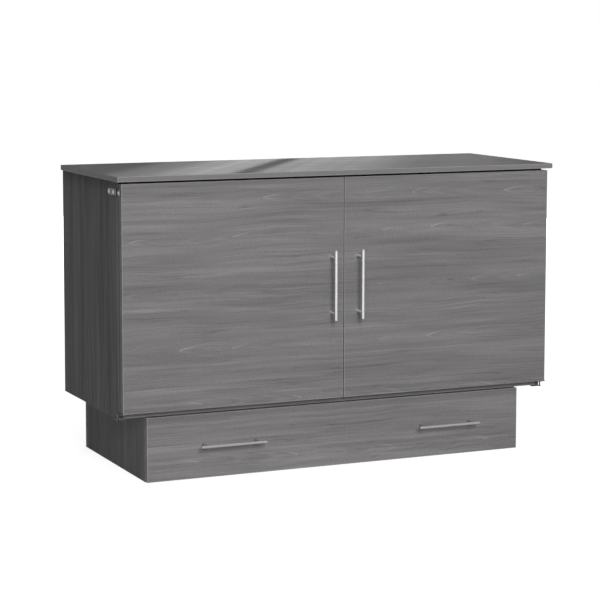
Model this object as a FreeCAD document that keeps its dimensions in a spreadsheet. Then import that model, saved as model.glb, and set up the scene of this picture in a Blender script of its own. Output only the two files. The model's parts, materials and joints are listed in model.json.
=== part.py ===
import FreeCAD, Part
import os
import Sketcher

# A cabinet bed, closed. A wide case with a hinged lid and two doors stands on a narrower base.
# The case holds a mattress folded in three and a stack of bed slats, and the base holds a drawer.
# The drawer draws two nested deck frames out behind it, and the slats are laid over them.
# X runs to the right, Y to the back and Z up. The origin is on the floor, at the middle of
# the whole width and of the whole depth, door pulls included. Lengths are in millimetres.

document = FreeCAD.newDocument("CabinetBed")

# ---- Sizes that are chosen --------------------------------------------------------------

SIZES = [
    # Bedding, which the case is built round.
    ("mattress_width", 1524, "mattress, side to side"),
    ("section_length", 677, "one of the three sections, a third of the mattress's length"),
    ("mattress_depth", 150, "thickness of the mattress"),
    ("mattress_gap", 3, "between folded sections, and behind the last"),
    ("mattress_lift", 2, "mattress above the case floor"),
    ("mattress_round", 16, "rounding of the mattress's edges"),
    ("cloth", 1.5, "cloth that joins two sections"),
    ("cloth_lap", 40, "that cloth on each section"),
    ("bedding_room", 24, "beside the mattress, at each end"),
    ("bedding_headroom", 94, "between the mattress and the lid"),
    ("slat_count", 17, "loose bed slats"),
    ("slat_width", 60, "bed slat"),
    ("slat_height", 18, "bed slat"),
    ("slat_round", 3, "rounding of a slat's edges"),
    ("slat_end_gap", 1, "slat's end to the inside of the base side"),
    ("slat_gap", 2, "between stacked slats, filled by the webbing"),
    ("slat_door_gap", 24, "stack behind the case front"),
    ("slat_bed_gap", 16, "stack ahead of the mattress"),
    ("webbing_width", 30, "webbing that joins the slats"),
    ("webbing_inset", 240, "webbing from the slats' ends"),
    # Case.
    ("board", 18, "thickness of the laminated boards"),
    ("board_round", 1, "rounding of the boards' banded edges"),
    ("back_panel", 6, "thickness of the case's back panel"),
    ("back_inset", 1, "back panel ahead of the case's back edge"),
    ("rail_height", 60, "lid hinge rail"),
    ("case_drop", 3, "case sides below the case floor"),
    ("wall_reach", 57, "base behind the case, as room for the raised lid"),
    ("lid_side_reach", 16, "lid beyond each case side"),
    ("lid_reach", 8, "lid ahead of the door faces"),
    ("lid_rest", 2, "lid above the case sides"),
    ("rest_gap", 0.3, "lid above its rest pads"),
    ("lid_rail_gap", 2, "lid ahead of the hinge rail"),
    ("lid_pad_radius", 7, "rest pad"),
    ("lid_pad_inset", 40, "rest pad from the ends of the case side"),
    # Doors.
    ("door_gap", 3, "between the two doors"),
    ("door_top_gap", 7, "door below the lid"),
    ("door_floor_rise", 3, "door's lower edge above the case floor's top"),
    ("door_clearance", 1, "closed door ahead of the case front"),
    ("frame_depth", 24, "frame behind a door's face"),
    ("frame_width", 60, "stiles and rails of that frame"),
    # Pulls.
    ("pull_stand", 46, "pull bar's axis ahead of the board"),
    ("pull_radius", 5, "pull bar"),
    ("pull_length", 240, "pull bar"),
    ("pull_spacing", 192, "between a pull's two posts"),
    ("pull_bevel", 1, "bevel at a bar's ends"),
    ("post_radius", 4, "pull post"),
    ("pull_screw_radius", 2, "machine screw in a post"),
    ("pull_screw_bite", 12, "machine screw inside a post"),
    ("screw_hole_slack", 0.25, "hole round a machine screw, on the radius"),
    ("pull_head_radius", 4, "machine screw's head"),
    ("pull_head_height", 2.5, "machine screw's head"),
    ("door_pull_inset", 49.5, "door pull from the door's meeting edge"),
    ("door_pull_rise", 396, "middle of a door pull above the door's lower edge"),
    ("drawer_pull_inset", 297, "middle of a drawer pull from the drawer's end"),
    ("drawer_pull_rise", 115, "drawer pull above the drawer's lower edge"),
    # Base and drawer.
    ("base_height", 225, "floor to the underside of the case"),
    ("base_inset", 95, "base side inside the case side"),
    ("drawer_reach", 9, "drawer's face ahead of the case front"),
    ("drawer_lift", 2, "drawer's face above the floor"),
    ("drawer_top_gap", 3, "drawer's face below the case floor"),
    ("drawer_side_gap", 2, "base side behind the drawer's face board"),
    ("box_board", 15, "drawer box sides and back"),
    ("box_bottom", 12, "drawer box bottom"),
    ("box_top_gap", 6, "drawer box below the cross rail"),
    ("box_depth", 500, "drawer box behind its face board"),
    ("box_leg_gap", 7, "drawer box to a deck frame's leg"),
    ("case_screw_radius", 2.5, "screw through the case floor into a base side"),
    ("case_screw_length", 50, "that screw"),
    ("case_screw_head", 5, "its head's radius"),
    ("case_screw_rise", 3, "its head, let into the floor"),
    ("case_screw_inset", 60, "first and last screw from the case floor's edges"),
    ("case_screw_count", 3, "screws along each base side"),
    # Deck frames.
    ("bearer_width", 26, "bearer"),
    ("bearer_height", 30, "bearer and cross rail"),
    ("rail_width", 25, "cross rail and leg"),
    ("deck_clearance", 1, "bearers below the case floor"),
    ("slide_gap", 0.4, "bearer above the next frame's cross rail"),
    ("cross_gap", 4, "between one cross rail and the next"),
    ("leg_gap", 3, "leg to the inside of the base side"),
    ("lane_gap", 6, "between neighbouring frames' bearers"),
    ("lane_leg_gap", 3, "outermost bearer to the legs"),
    ("bearer_pairs", 2, "bearers in each frame, on each side of the middle"),
    ("deck_rest", 10, "bearer left on the cross rail when drawn out"),
    ("deck_back_gap", 4, "rearmost bearer to the base's back"),
    ("glide_radius", 11, "glide under a leg"),
    ("glide_height", 8, "glide under a leg"),
    # Casters.
    ("wheel_radius", 18, "caster wheel"),
    ("wheel_width", 16, "caster wheel"),
    ("wheel_round", 2, "rounding of the tread"),
    ("axle_radius", 3, "caster axle"),
    ("running_fit", 0.05, "pin or axle in its hole, on the radius"),
    ("caster_gap", 2, "wheel below its fork's plate"),
    ("fork_plate", 2, "fork's plate"),
    ("fork_length", 60, "fork's plate, square"),
    ("fork_cheek", 3, "fork's cheeks"),
    ("fork_gap", 1, "cheek beside the wheel"),
    ("fork_cheek_depth", 20, "cheek, front to back"),
    ("fork_end", 6, "cheek below the axle"),
    ("caster_side_inset", 56, "caster from the drawer box's side"),
    ("caster_end_inset", 55, "caster from the drawer box's ends"),
    # Door hinges.
    ("hinge_leaf", 2, "thickness of the leaves"),
    ("hinge_height", 22, "upper hinge"),
    ("hinge_drop", 24, "upper hinge below the top of the case side"),
    ("case_leaf_length", 86, "leaf on the case side, from the axis"),
    ("door_leaf_length", 34, "leaf on the door's edge, from the axis"),
    ("knuckle_radius", 4.5, "knuckle"),
    ("knuckle_stand", 0.5, "knuckle clear of the door's edge"),
    ("knuckle_gap", 0.3, "between neighbouring knuckles"),
    ("hinge_pin_radius", 1.5, "pin of a hinge"),
    ("hinge_head_radius", 7.5, "screw head, at its foot"),
    ("hinge_head_top", 5, "screw head, at its top"),
    ("hinge_head_height", 2.5, "screw head"),
    ("wood_screw_radius", 2, "wood screw"),
    ("wood_screw_bite", 14, "wood screw below its head"),
    ("screw_slack", 0.05, "pilot hole round a wood screw, on the radius"),
    ("case_leaf_screw_near", 30, "screw from the axis"),
    ("case_leaf_screw_far", 75, "screw from the axis"),
    ("door_leaf_screw", 21, "screw from the axis"),
    ("pivot_plate", 2, "thickness of the lower pivot's plates"),
    ("pivot_depth", 40, "pivot plate from the axis, front to back"),
    ("pivot_inset", 24, "pivot plate under the board"),
    ("pivot_radius", 2.5, "lower pivot pin"),
    ("pivot_ear", 4.8, "round ear about the lower pivot pin"),
    ("pivot_screw_near", 13, "screw from the axis"),
    ("pivot_screw_far", 33, "screw from the axis"),
    ("pivot_head_radius", 3.5, "flat screw head"),
    ("pivot_head_height", 1.5, "flat screw head"),
    # Lid hinges.
    ("lid_hinge_count", 3, "hinges along the lid's back"),
    ("lid_hinge_inset", 186, "middle of the outer hinges from the case sides"),
    ("lid_hinge_length", 90, "lid hinge"),
    ("lid_knuckle_radius", 3.5, "knuckle"),
    ("lid_knuckle_stand", 1.3, "knuckle behind the leaf on the lid's edge"),
    ("lid_leaf", 1.7, "thickness of the leaves"),
    ("lid_leaf_depth", 14, "leaf on the hinge rail"),
    ("lid_web", 3.4, "thickness of the web that carries a knuckle"),
    ("lid_screw_radius", 1.5, "screw"),
    ("lid_screw_bite", 12, "screw below its head"),
    ("lid_screw_head", 2.4, "radius of its head"),
    ("lid_screw_rise", 1.2, "height of its head"),
    ("lid_screw_inset", 15, "screw from the hinge's ends"),
    ("lid_screw_drop", 5, "screw below the lid's top"),
    ("rail_screw_inset", 3, "screw from the rail leaf's rear edge"),
    # Catches.
    ("catch_width", 40, "magnetic catch"),
    ("catch_size", 14, "magnetic catch, height and depth"),
    ("catch_inset", 18.5, "magnetic catch from the door's meeting edge"),
    ("catch_plate", 0.6, "steel plate on the door, for the catch"),
]

sheet = document.addObject("Spreadsheet::Sheet", "Sizes")
rows_used = 0


def write_row(name, content, meaning):
    """Put one named value on the next row of the sheet."""
    global rows_used
    rows_used += 1
    sheet.set(f"A{rows_used}", name)
    sheet.set(f"B{rows_used}", content)
    sheet.set(f"C{rows_used}", meaning)
    sheet.setAlias(f"B{rows_used}", name)


for size_name, size, size_meaning in SIZES:
    write_row(size_name, str(size), size_meaning)
document.recompute()


class Length:
    """A size or a place, written as an expression on the sheet of sizes."""

    def __init__(self, text):
        self.text = text

    def __add__(self, other):
        return Length(f"({self.text} + {written(other)})")

    def __sub__(self, other):
        return Length(f"({self.text} - {written(other)})")

    def __mul__(self, other):
        return Length(f"({self.text} * {written(other)})")

    def __truediv__(self, other):
        return Length(f"({self.text} / {written(other)})")

    def __neg__(self):
        return Length(f"(-1 * {self.text})")


class Span:
    """A stretch along one axis, from a lower place to a higher one."""

    def __init__(self, start, end):
        self.start = start
        self.end = end
        self.size = end - start
        self.centre = (start + end) / 2

    def trimmed(self, inset):
        """The same stretch, shorter by an inset at both ends."""
        return Span(self.start + inset, self.end - inset)


def written(value):
    """The expression text of a length or of a plain number."""
    return value.text if isinstance(value, Length) else str(value)


def size_of(name):
    """A value on the sheet, by its name."""
    return Length(f"Sizes.{name}")


def count_of(name):
    """A number of pieces, as a whole number."""
    return int(sheet.get(name))


def derived(name, length, meaning):
    """Write a worked-out place on the sheet too, and use it by its name."""
    write_row(name, "=" + length.text.replace("Sizes.", ""), meaning)
    return size_of(name)


def about(centre, size):
    """The span of a size that is centred on a place."""
    return Span(centre - size / 2, centre + size / 2)


def from_low(start, size):
    """The span that begins at a place."""
    return Span(start, start + size)


def from_high(end, size):
    """The span that ends at a place."""
    return Span(end - size, end)


def from_place(start, size, direction):
    """The span that leaves a place towards the high side (1) or the low side (-1)."""
    return from_low(start, size) if direction > 0 else from_high(start, size)


def on_side(span, side):
    """A span given for the right-hand side, put on the side that is asked for."""
    return span if side > 0 else Span(-span.end, -span.start)


def both_ways(reach):
    """The span that reaches as far to the left of the middle as to the right."""
    return Span(-reach, reach)


SIDES = (("left", -1), ("right", 1))
subparts = []


def subpart(thing, label):
    """Name an object as one piece of the bed."""
    thing.Label = label
    subparts.append(thing)
    return thing


# ---- Simple solids ----------------------------------------------------------------------

AXIS_TURNS = {
    "X": FreeCAD.Rotation(FreeCAD.Vector(0, 1, 0), 90),
    "Y": FreeCAD.Rotation(FreeCAD.Vector(1, 0, 0), -90),
    "Z": FreeCAD.Rotation(),
}


def bind(thing, prop, length):
    """Tie one property to an expression."""
    thing.setExpression(prop, written(length))


def place(thing, x, y, z):
    """Tie the position of an object to three expressions."""
    bind(thing, "Placement.Base.x", x)
    bind(thing, "Placement.Base.y", y)
    bind(thing, "Placement.Base.z", z)


def place_on_axis(thing, axis, along, first, second):
    """Stand a turned solid on an axis; first and second are its other two coordinates."""
    thing.Placement = FreeCAD.Placement(FreeCAD.Vector(), AXIS_TURNS[axis])
    corners = {"X": (along, first, second), "Y": (first, along, second), "Z": (first, second, along)}
    place(thing, *corners[axis])


def block(name, x, y, z):
    """A square-edged block that fills three spans."""
    box = document.addObject("Part::Box", name)
    bind(box, "Length", x.size)
    bind(box, "Width", y.size)
    bind(box, "Height", z.size)
    place(box, x.start, y.start, z.start)
    return box


def rod(name, axis, radius, along, first, second):
    """A round rod along one axis."""
    cylinder = document.addObject("Part::Cylinder", name)
    bind(cylinder, "Radius", radius)
    bind(cylinder, "Height", along.size)
    place_on_axis(cylinder, axis, along.start, first, second)
    return cylinder


def taper(name, axis, radii, along, first, second):
    """A round rod along one axis that tapers from its low end to its high end."""
    cone = document.addObject("Part::Cone", name)
    bind(cone, "Radius1", radii[0])
    bind(cone, "Radius2", radii[1])
    bind(cone, "Height", along.size)
    place_on_axis(cone, axis, along.start, first, second)
    return cone


def joined(name, pieces):
    """Pieces made into one solid."""
    fuse = document.addObject("Part::MultiFuse", name)
    fuse.Shapes = pieces
    return fuse


def drilled(name, solid, drills):
    """A solid with one or more drills taken out of it."""
    cut = document.addObject("Part::Cut", name)
    cut.Base = solid
    cut.Tool = drills[0] if len(drills) == 1 else joined(f"{name}_drills", drills)
    return cut


def group(label, pieces):
    """Separate solids that share one name."""
    compound = document.addObject("Part::Compound", label)
    compound.Links = pieces
    return subpart(compound, label)


# ---- Boards, drawn and padded -----------------------------------------------------------


def sketch_on(body, name, plane):
    """An empty sketch on one of a body's own origin planes."""
    sketch = body.newObject("Sketcher::SketchObject", name)
    role = f"{plane}_Plane"
    origin_plane = [item for item in body.Origin.OriginFeatures if item.Role == role][0]
    sketch.AttachmentSupport = [(origin_plane, "")]
    sketch.MapMode = "FlatFace"
    return sketch


def add_measure(sketch, name, constraint, length):
    """Add a named measure to a sketch and tie it to an expression."""
    number = sketch.addConstraint(constraint)
    sketch.renameConstraint(number, name)
    bind(sketch, f"Constraints.{name}", length)


def draw_rectangle(sketch, across, up):
    """A rectangle with one corner on the sketch's origin."""
    corners = [FreeCAD.Vector(x, y, 0) for x, y in ((0, 0), (10, 0), (10, 10), (0, 10))]
    for index, corner in enumerate(corners):
        sketch.addGeometry(Part.LineSegment(corner, corners[(index + 1) % 4]))
    for index in range(4):
        sketch.addConstraint(Sketcher.Constraint("Coincident", index, 2, (index + 1) % 4, 1))
    for index in (0, 2):
        sketch.addConstraint(Sketcher.Constraint("Horizontal", index))
    for index in (1, 3):
        sketch.addConstraint(Sketcher.Constraint("Vertical", index))
    sketch.addConstraint(Sketcher.Constraint("Coincident", 0, 1, -1, 1))
    add_measure(sketch, "across", Sketcher.Constraint("DistanceX", 0, 1, 0, 2, 10), across)
    add_measure(sketch, "up", Sketcher.Constraint("DistanceY", 1, 1, 1, 2, 10), up)


def draw_holes(sketch, holes, radius):
    """Round holes at given distances from the sketch's origin."""
    for index, (across, up) in enumerate(holes):
        centre = FreeCAD.Vector(10 + 20 * index, 10, 0)
        circle = sketch.addGeometry(Part.Circle(centre, FreeCAD.Vector(0, 0, 1), 2))
        add_measure(sketch, f"across_{index}",
                    Sketcher.Constraint("DistanceX", -1, 1, circle, 3, centre.x), across)
        add_measure(sketch, f"up_{index}",
                    Sketcher.Constraint("DistanceY", -1, 1, circle, 3, centre.y), up)
        add_measure(sketch, f"radius_{index}", Sketcher.Constraint("Radius", circle, 2), radius)


def plank(name, plane, x, y, z, rounding=None, holes=(), hole_radius=None):
    """A flat board: a rectangle on one plane, its thickness, its rounded edges and its holes."""
    body = document.addObject("PartDesign::Body", name)
    across, up, thick = {"XY": (x, y, z), "XZ": (x, z, y), "YZ": (y, z, x)}[plane]
    outline = sketch_on(body, f"{name}_outline", plane)
    draw_rectangle(outline, across.size, up.size)
    pad = body.newObject("PartDesign::Pad", f"{name}_pad")
    pad.Profile = outline
    pad.Reversed = plane == "XZ"
    bind(pad, "Length", thick.size)
    document.recompute()
    if rounding:
        edges = body.newObject("PartDesign::Fillet", f"{name}_edges")
        edges.Base = (pad, [""])
        edges.UseAllEdges = True
        bind(edges, "Radius", rounding)
        document.recompute()
    if holes:
        before = body.Shape.Volume
        circles = sketch_on(body, f"{name}_circles", plane)
        draw_holes(circles, [(first - across.start, second - up.start) for first, second in holes],
                   hole_radius)
        pocket = body.newObject("PartDesign::Pocket", f"{name}_holes")
        pocket.Profile = circles
        pocket.Type = "ThroughAll"
        pocket.Midplane = True
        document.recompute()
        if body.Shape.Volume >= before:
            raise RuntimeError(f"{name}: its holes cut nothing")
    place(body, x.start, y.start, z.start)
    return body


def board(label, plane, x, y, z, rounding=None):
    """A plain plank as a piece of its own."""
    return subpart(plank(label, plane, x, y, z, rounding), label)


# ---- Screws -----------------------------------------------------------------------------


class Screw:
    """A screw along one axis, with the drill for its pilot hole."""

    def __init__(self, name, axis, seat, inward, first, second, kind):
        radius, bite, foot, top, rise = (size_of(size) for size in kind)
        head_span = from_place(seat, rise, -inward)
        shank_span = from_place(seat, bite, inward)
        if foot.text == top.text:
            head = rod(f"{name}_head", axis, foot, head_span, first, second)
        else:
            radii = (foot, top) if inward < 0 else (top, foot)
            head = taper(f"{name}_head", axis, radii, head_span, first, second)
        shank = rod(f"{name}_shank", axis, radius, shank_span, first, second)
        self.solid = joined(name, [head, shank])
        self.drill = rod(f"{name}_pilot", axis, radius + size_of("screw_slack"), shank_span, first, second)


# Shank radius, bite, head radius at foot and top, and head height, by their names.
HINGE_SCREW = ("wood_screw_radius", "wood_screw_bite", "hinge_head_radius", "hinge_head_top",
               "hinge_head_height")
PIVOT_SCREW = ("wood_screw_radius", "wood_screw_bite", "pivot_head_radius", "pivot_head_radius",
               "pivot_head_height")
LID_SCREW = ("lid_screw_radius", "lid_screw_bite", "lid_screw_head", "lid_screw_head",
             "lid_screw_rise")
CASE_SCREW = ("case_screw_radius", "case_screw_length", "case_screw_head", "case_screw_head",
              "case_screw_rise")

# ---- Main places ------------------------------------------------------------------------

thickness = size_of("board")
rounding = size_of("board_round")
floor_plane = Length("0")

# Across the bed: the mattress sets the case, and the case sets the lid and the base.
half_case = derived("half_case", size_of("mattress_width") / 2 + size_of("bedding_room") + thickness,
                    "middle to the outside of a case side")
half_lid = derived("half_lid", half_case + size_of("lid_side_reach"), "middle to the lid's end")
half_base = derived("half_base", half_case - size_of("base_inset"), "middle to the outside of the base")
right_case_board = from_high(half_case, thickness)
right_base_board = from_high(half_base, thickness)
inside_case = both_ways(right_case_board.start)
inside_base = both_ways(right_base_board.start)

# From front to back: slats, mattress, hinge rail and back panel fill the case's depth.
case_depth = derived(
    "case_depth",
    size_of("slat_door_gap") + size_of("slat_width") + size_of("slat_bed_gap")
    + size_of("mattress_depth") * 3 + size_of("mattress_gap") * 3
    + thickness + size_of("back_panel") + size_of("back_inset"),
    "case side, front to back")
door_depth = thickness + size_of("frame_depth")
base_back = derived(
    "base_back",
    (size_of("pull_stand") + size_of("pull_radius") + door_depth + size_of("door_clearance")
     + case_depth + size_of("wall_reach")) / 2,
    "middle to the back of the base, half of the whole depth")
case_back = derived("case_back", base_back - size_of("wall_reach"), "back edge of the case sides")
case_front = derived("case_front", case_back - case_depth, "front edge of the case sides")
door_back = case_front - size_of("door_clearance")
door_face = from_low(door_back - door_depth, thickness)
door_frame = Span(door_face.end, door_back)
drawer_face = from_low(case_front - size_of("drawer_reach"), thickness)
back_panel = from_high(case_back - size_of("back_inset"), size_of("back_panel"))
hinge_rail = from_high(back_panel.start, thickness)
lid_y = Span(door_face.start - size_of("lid_reach"), hinge_rail.start - size_of("lid_rail_gap"))

# From the floor up: base, case floor, bedding and lid.
case_floor = from_low(size_of("base_height"), thickness)
section_z = from_low(case_floor.end + size_of("mattress_lift"), size_of("section_length"))
lid_under = derived("lid_under", section_z.end + size_of("bedding_headroom"), "underside of the lid")
lid_z = from_low(lid_under, thickness)
case_top = derived("case_top", lid_under - size_of("lid_rest"), "top of the case sides")
case_side_z = Span(case_floor.start - size_of("case_drop"), case_top)
door_z = Span(case_floor.end + size_of("door_floor_rise"), lid_under - size_of("door_top_gap"))
base_z = Span(floor_plane, case_floor.start)
drawer_face_z = Span(size_of("drawer_lift"), case_floor.start - size_of("drawer_top_gap"))

# ---- Lid and its hinges -----------------------------------------------------------------

knuckle = size_of("lid_knuckle_radius")
lid_leaf = size_of("lid_leaf")
lid_leaf_y = from_low(lid_y.end, lid_leaf)
lid_leaf_z = Span(lid_z.start + rounding, lid_z.end - rounding)
rail_leaf_y = from_low(hinge_rail.start, size_of("lid_leaf_depth"))
rail_leaf_z = from_low(case_top, lid_leaf)
lid_axis_y = derived("lid_axis_y", lid_leaf_y.end + size_of("lid_knuckle_stand") + knuckle,
                     "axis of the lid hinges")
lid_axis_z = derived("lid_axis_z", rail_leaf_z.end + size_of("knuckle_gap") + knuckle,
                     "axis of the lid hinges")
lid_axis = ("X", lid_axis_y, lid_axis_z)
rail_leaves, lid_leaves, lid_pins = [], [], []
lid_screws, rail_screws = [], []
outer_hinge = right_case_board.start - size_of("lid_hinge_inset")
hinge_total = count_of("lid_hinge_count")
for number in range(hinge_total):
    middle = outer_hinge * (2 * number / max(hinge_total - 1, 1) - 1)
    whole = about(middle, size_of("lid_hinge_length"))
    centre = about(middle, size_of("lid_hinge_length") / 3)
    ends = (Span(whole.start, centre.start - size_of("knuckle_gap")),
            Span(centre.end + size_of("knuckle_gap"), whole.end))
    screw_places = (whole.start + size_of("lid_screw_inset"), whole.end - size_of("lid_screw_inset"))
    here, there = [], []
    for index, x in enumerate(screw_places):
        here.append(Screw(f"rail_screw_{number}_{index}", "Z", rail_leaf_z.end, -1, x,
                          rail_leaf_y.end - size_of("rail_screw_inset"), LID_SCREW))
        there.append(Screw(f"lid_screw_{number}_{index}", "Y", lid_leaf_y.end, -1, x,
                           lid_z.end - size_of("lid_screw_drop"), LID_SCREW))
    rail_screws.extend(here)
    lid_screws.extend(there)

    pieces = [block(f"rail_leaf_plate_{number}", whole, rail_leaf_y, rail_leaf_z)]
    for index, stretch in enumerate(ends):
        pieces.append(rod(f"rail_knuckle_{number}_{index}", lid_axis[0], knuckle, stretch, *lid_axis[1:]))
        pieces.append(block(f"rail_web_{number}_{index}", stretch,
                            about(lid_axis_y, size_of("lid_web")), Span(case_top, lid_axis_z)))
    drill = rod(f"rail_drill_{number}", "X", size_of("hinge_pin_radius"), whole, *lid_axis[1:])
    rail_leaves.append(drilled(f"rail_leaf_{number}", joined(f"rail_leaf_solid_{number}", pieces),
                               [drill] + [screw.drill for screw in here]))

    pieces = [
        block(f"lid_leaf_plate_{number}", whole, lid_leaf_y, lid_leaf_z),
        rod(f"lid_knuckle_{number}", "X", knuckle, centre, *lid_axis[1:]),
        block(f"lid_web_{number}", centre, Span(lid_y.end, lid_axis_y),
              about(lid_axis_z, size_of("lid_web"))),
    ]
    drill = rod(f"lid_drill_{number}", "X", size_of("hinge_pin_radius") + size_of("running_fit"), centre,
                *lid_axis[1:])
    lid_leaves.append(drilled(f"lid_leaf_{number}", joined(f"lid_leaf_solid_{number}", pieces),
                              [drill] + [screw.drill for screw in there]))
    lid_pins.append(rod(f"lid_pin_{number}", "X", size_of("hinge_pin_radius"), whole, *lid_axis[1:]))
group("lid_hinge_rail_leaves", rail_leaves)
group("lid_hinge_lid_leaves", lid_leaves)
group("lid_hinge_pins", lid_pins)
group("lid_hinge_screws", [screw.solid for screw in lid_screws])
lid_plank = plank("lid_plank", "XY", both_ways(half_lid), lid_y, lid_z, rounding)
subpart(drilled("lid_panel", lid_plank, [screw.drill for screw in lid_screws]), "lid_panel")
rail_plank = plank("rail_plank", "XZ", inside_case, hinge_rail, from_high(case_top, size_of("rail_height")),
                   rounding)
subpart(drilled("lid_hinge_rail", rail_plank, [screw.drill for screw in rail_screws]), "lid_hinge_rail")

# ---- Pulls ------------------------------------------------------------------------------


class Pull:
    """A round bar on two posts, held by machine screws through all that is behind it."""

    def __init__(self, label, held_y, middle_x, middle_z, upright):
        reach = size_of("pull_spacing") / 2
        if upright:
            self.posts = [(middle_x, middle_z - reach), (middle_x, middle_z + reach)]
        else:
            self.posts = [(middle_x - reach, middle_z), (middle_x + reach, middle_z)]
        bar_y = held_y.start - size_of("pull_stand")
        axis, others = ("Z", (middle_x, bar_y)) if upright else ("X", (bar_y, middle_z))
        whole = about(middle_z if upright else middle_x, size_of("pull_length"))
        radius = size_of("pull_radius")
        bevel = size_of("pull_bevel")
        bite = size_of("pull_screw_bite")
        pieces = [
            rod(f"{label}_bar", axis, radius, whole.trimmed(bevel), *others),
            taper(f"{label}_low_end", axis, (radius - bevel, radius), from_low(whole.start, bevel), *others),
            taper(f"{label}_high_end", axis, (radius, radius - bevel), from_high(whole.end, bevel), *others),
        ]
        bores = []
        self.screws = []
        for index, (x, z) in enumerate(self.posts):
            pieces.append(rod(f"{label}_post_{index}", "Y", size_of("post_radius"),
                              Span(bar_y, held_y.start), x, z))
            bores.append(rod(f"{label}_bore_{index}", "Y", size_of("pull_screw_radius"),
                             from_high(held_y.start, bite), x, z))
            head = rod(f"{label}_screw_head_{index}", "Y", size_of("pull_head_radius"),
                       from_low(held_y.end, size_of("pull_head_height")), x, z)
            shank = rod(f"{label}_screw_shank_{index}", "Y", size_of("pull_screw_radius"),
                        Span(held_y.start - bite, held_y.end), x, z)
            self.screws.append(joined(f"{label}_screw_{index}", [head, shank]))
        subpart(drilled(label, joined(f"{label}_solid", pieces), bores), label)


pull_hole = size_of("pull_screw_radius") + size_of("screw_hole_slack")

# ---- Doors and their hinges -------------------------------------------------------------

hinge_axis_x = derived("hinge_axis_x", half_case + size_of("knuckle_stand") + size_of("knuckle_radius"),
                       "middle to the axis of a door's hinges")
hinge_axis_y = derived("hinge_axis_y", case_front - size_of("door_clearance") / 2,
                       "axis of the doors' hinges")
hinge_z = from_high(case_top - size_of("hinge_drop"), size_of("hinge_height"))
foot_z = from_high(case_side_z.start, size_of("pivot_plate"))
pivot_z = from_high(door_z.start, size_of("pivot_plate"))
leaf = size_of("hinge_leaf")
pin = size_of("hinge_pin_radius")
fit = size_of("running_fit")
web_reach = size_of("knuckle_radius")
door_x = Span(size_of("door_gap") / 2, half_case)


def hinge_leaf_of(name, side, plate_y, web_y, stretches, drills):
    """A flat leaf on a board's outer face, carried to the hinge's axis by its knuckles."""
    plate_x = on_side(from_low(half_case, leaf), side)
    web_x = on_side(Span(half_case, hinge_axis_x), side)
    pieces = [block(f"{name}_plate", plate_x, plate_y, hinge_z)]
    for index, stretch in enumerate(stretches):
        pieces.append(rod(f"{name}_knuckle_{index}", "Z", size_of("knuckle_radius"), stretch,
                          hinge_axis_x * side, hinge_axis_y))
        pieces.append(block(f"{name}_web_{index}", web_x, web_y, stretch))
    return drilled(name, joined(f"{name}_solid", pieces), drills)


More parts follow.
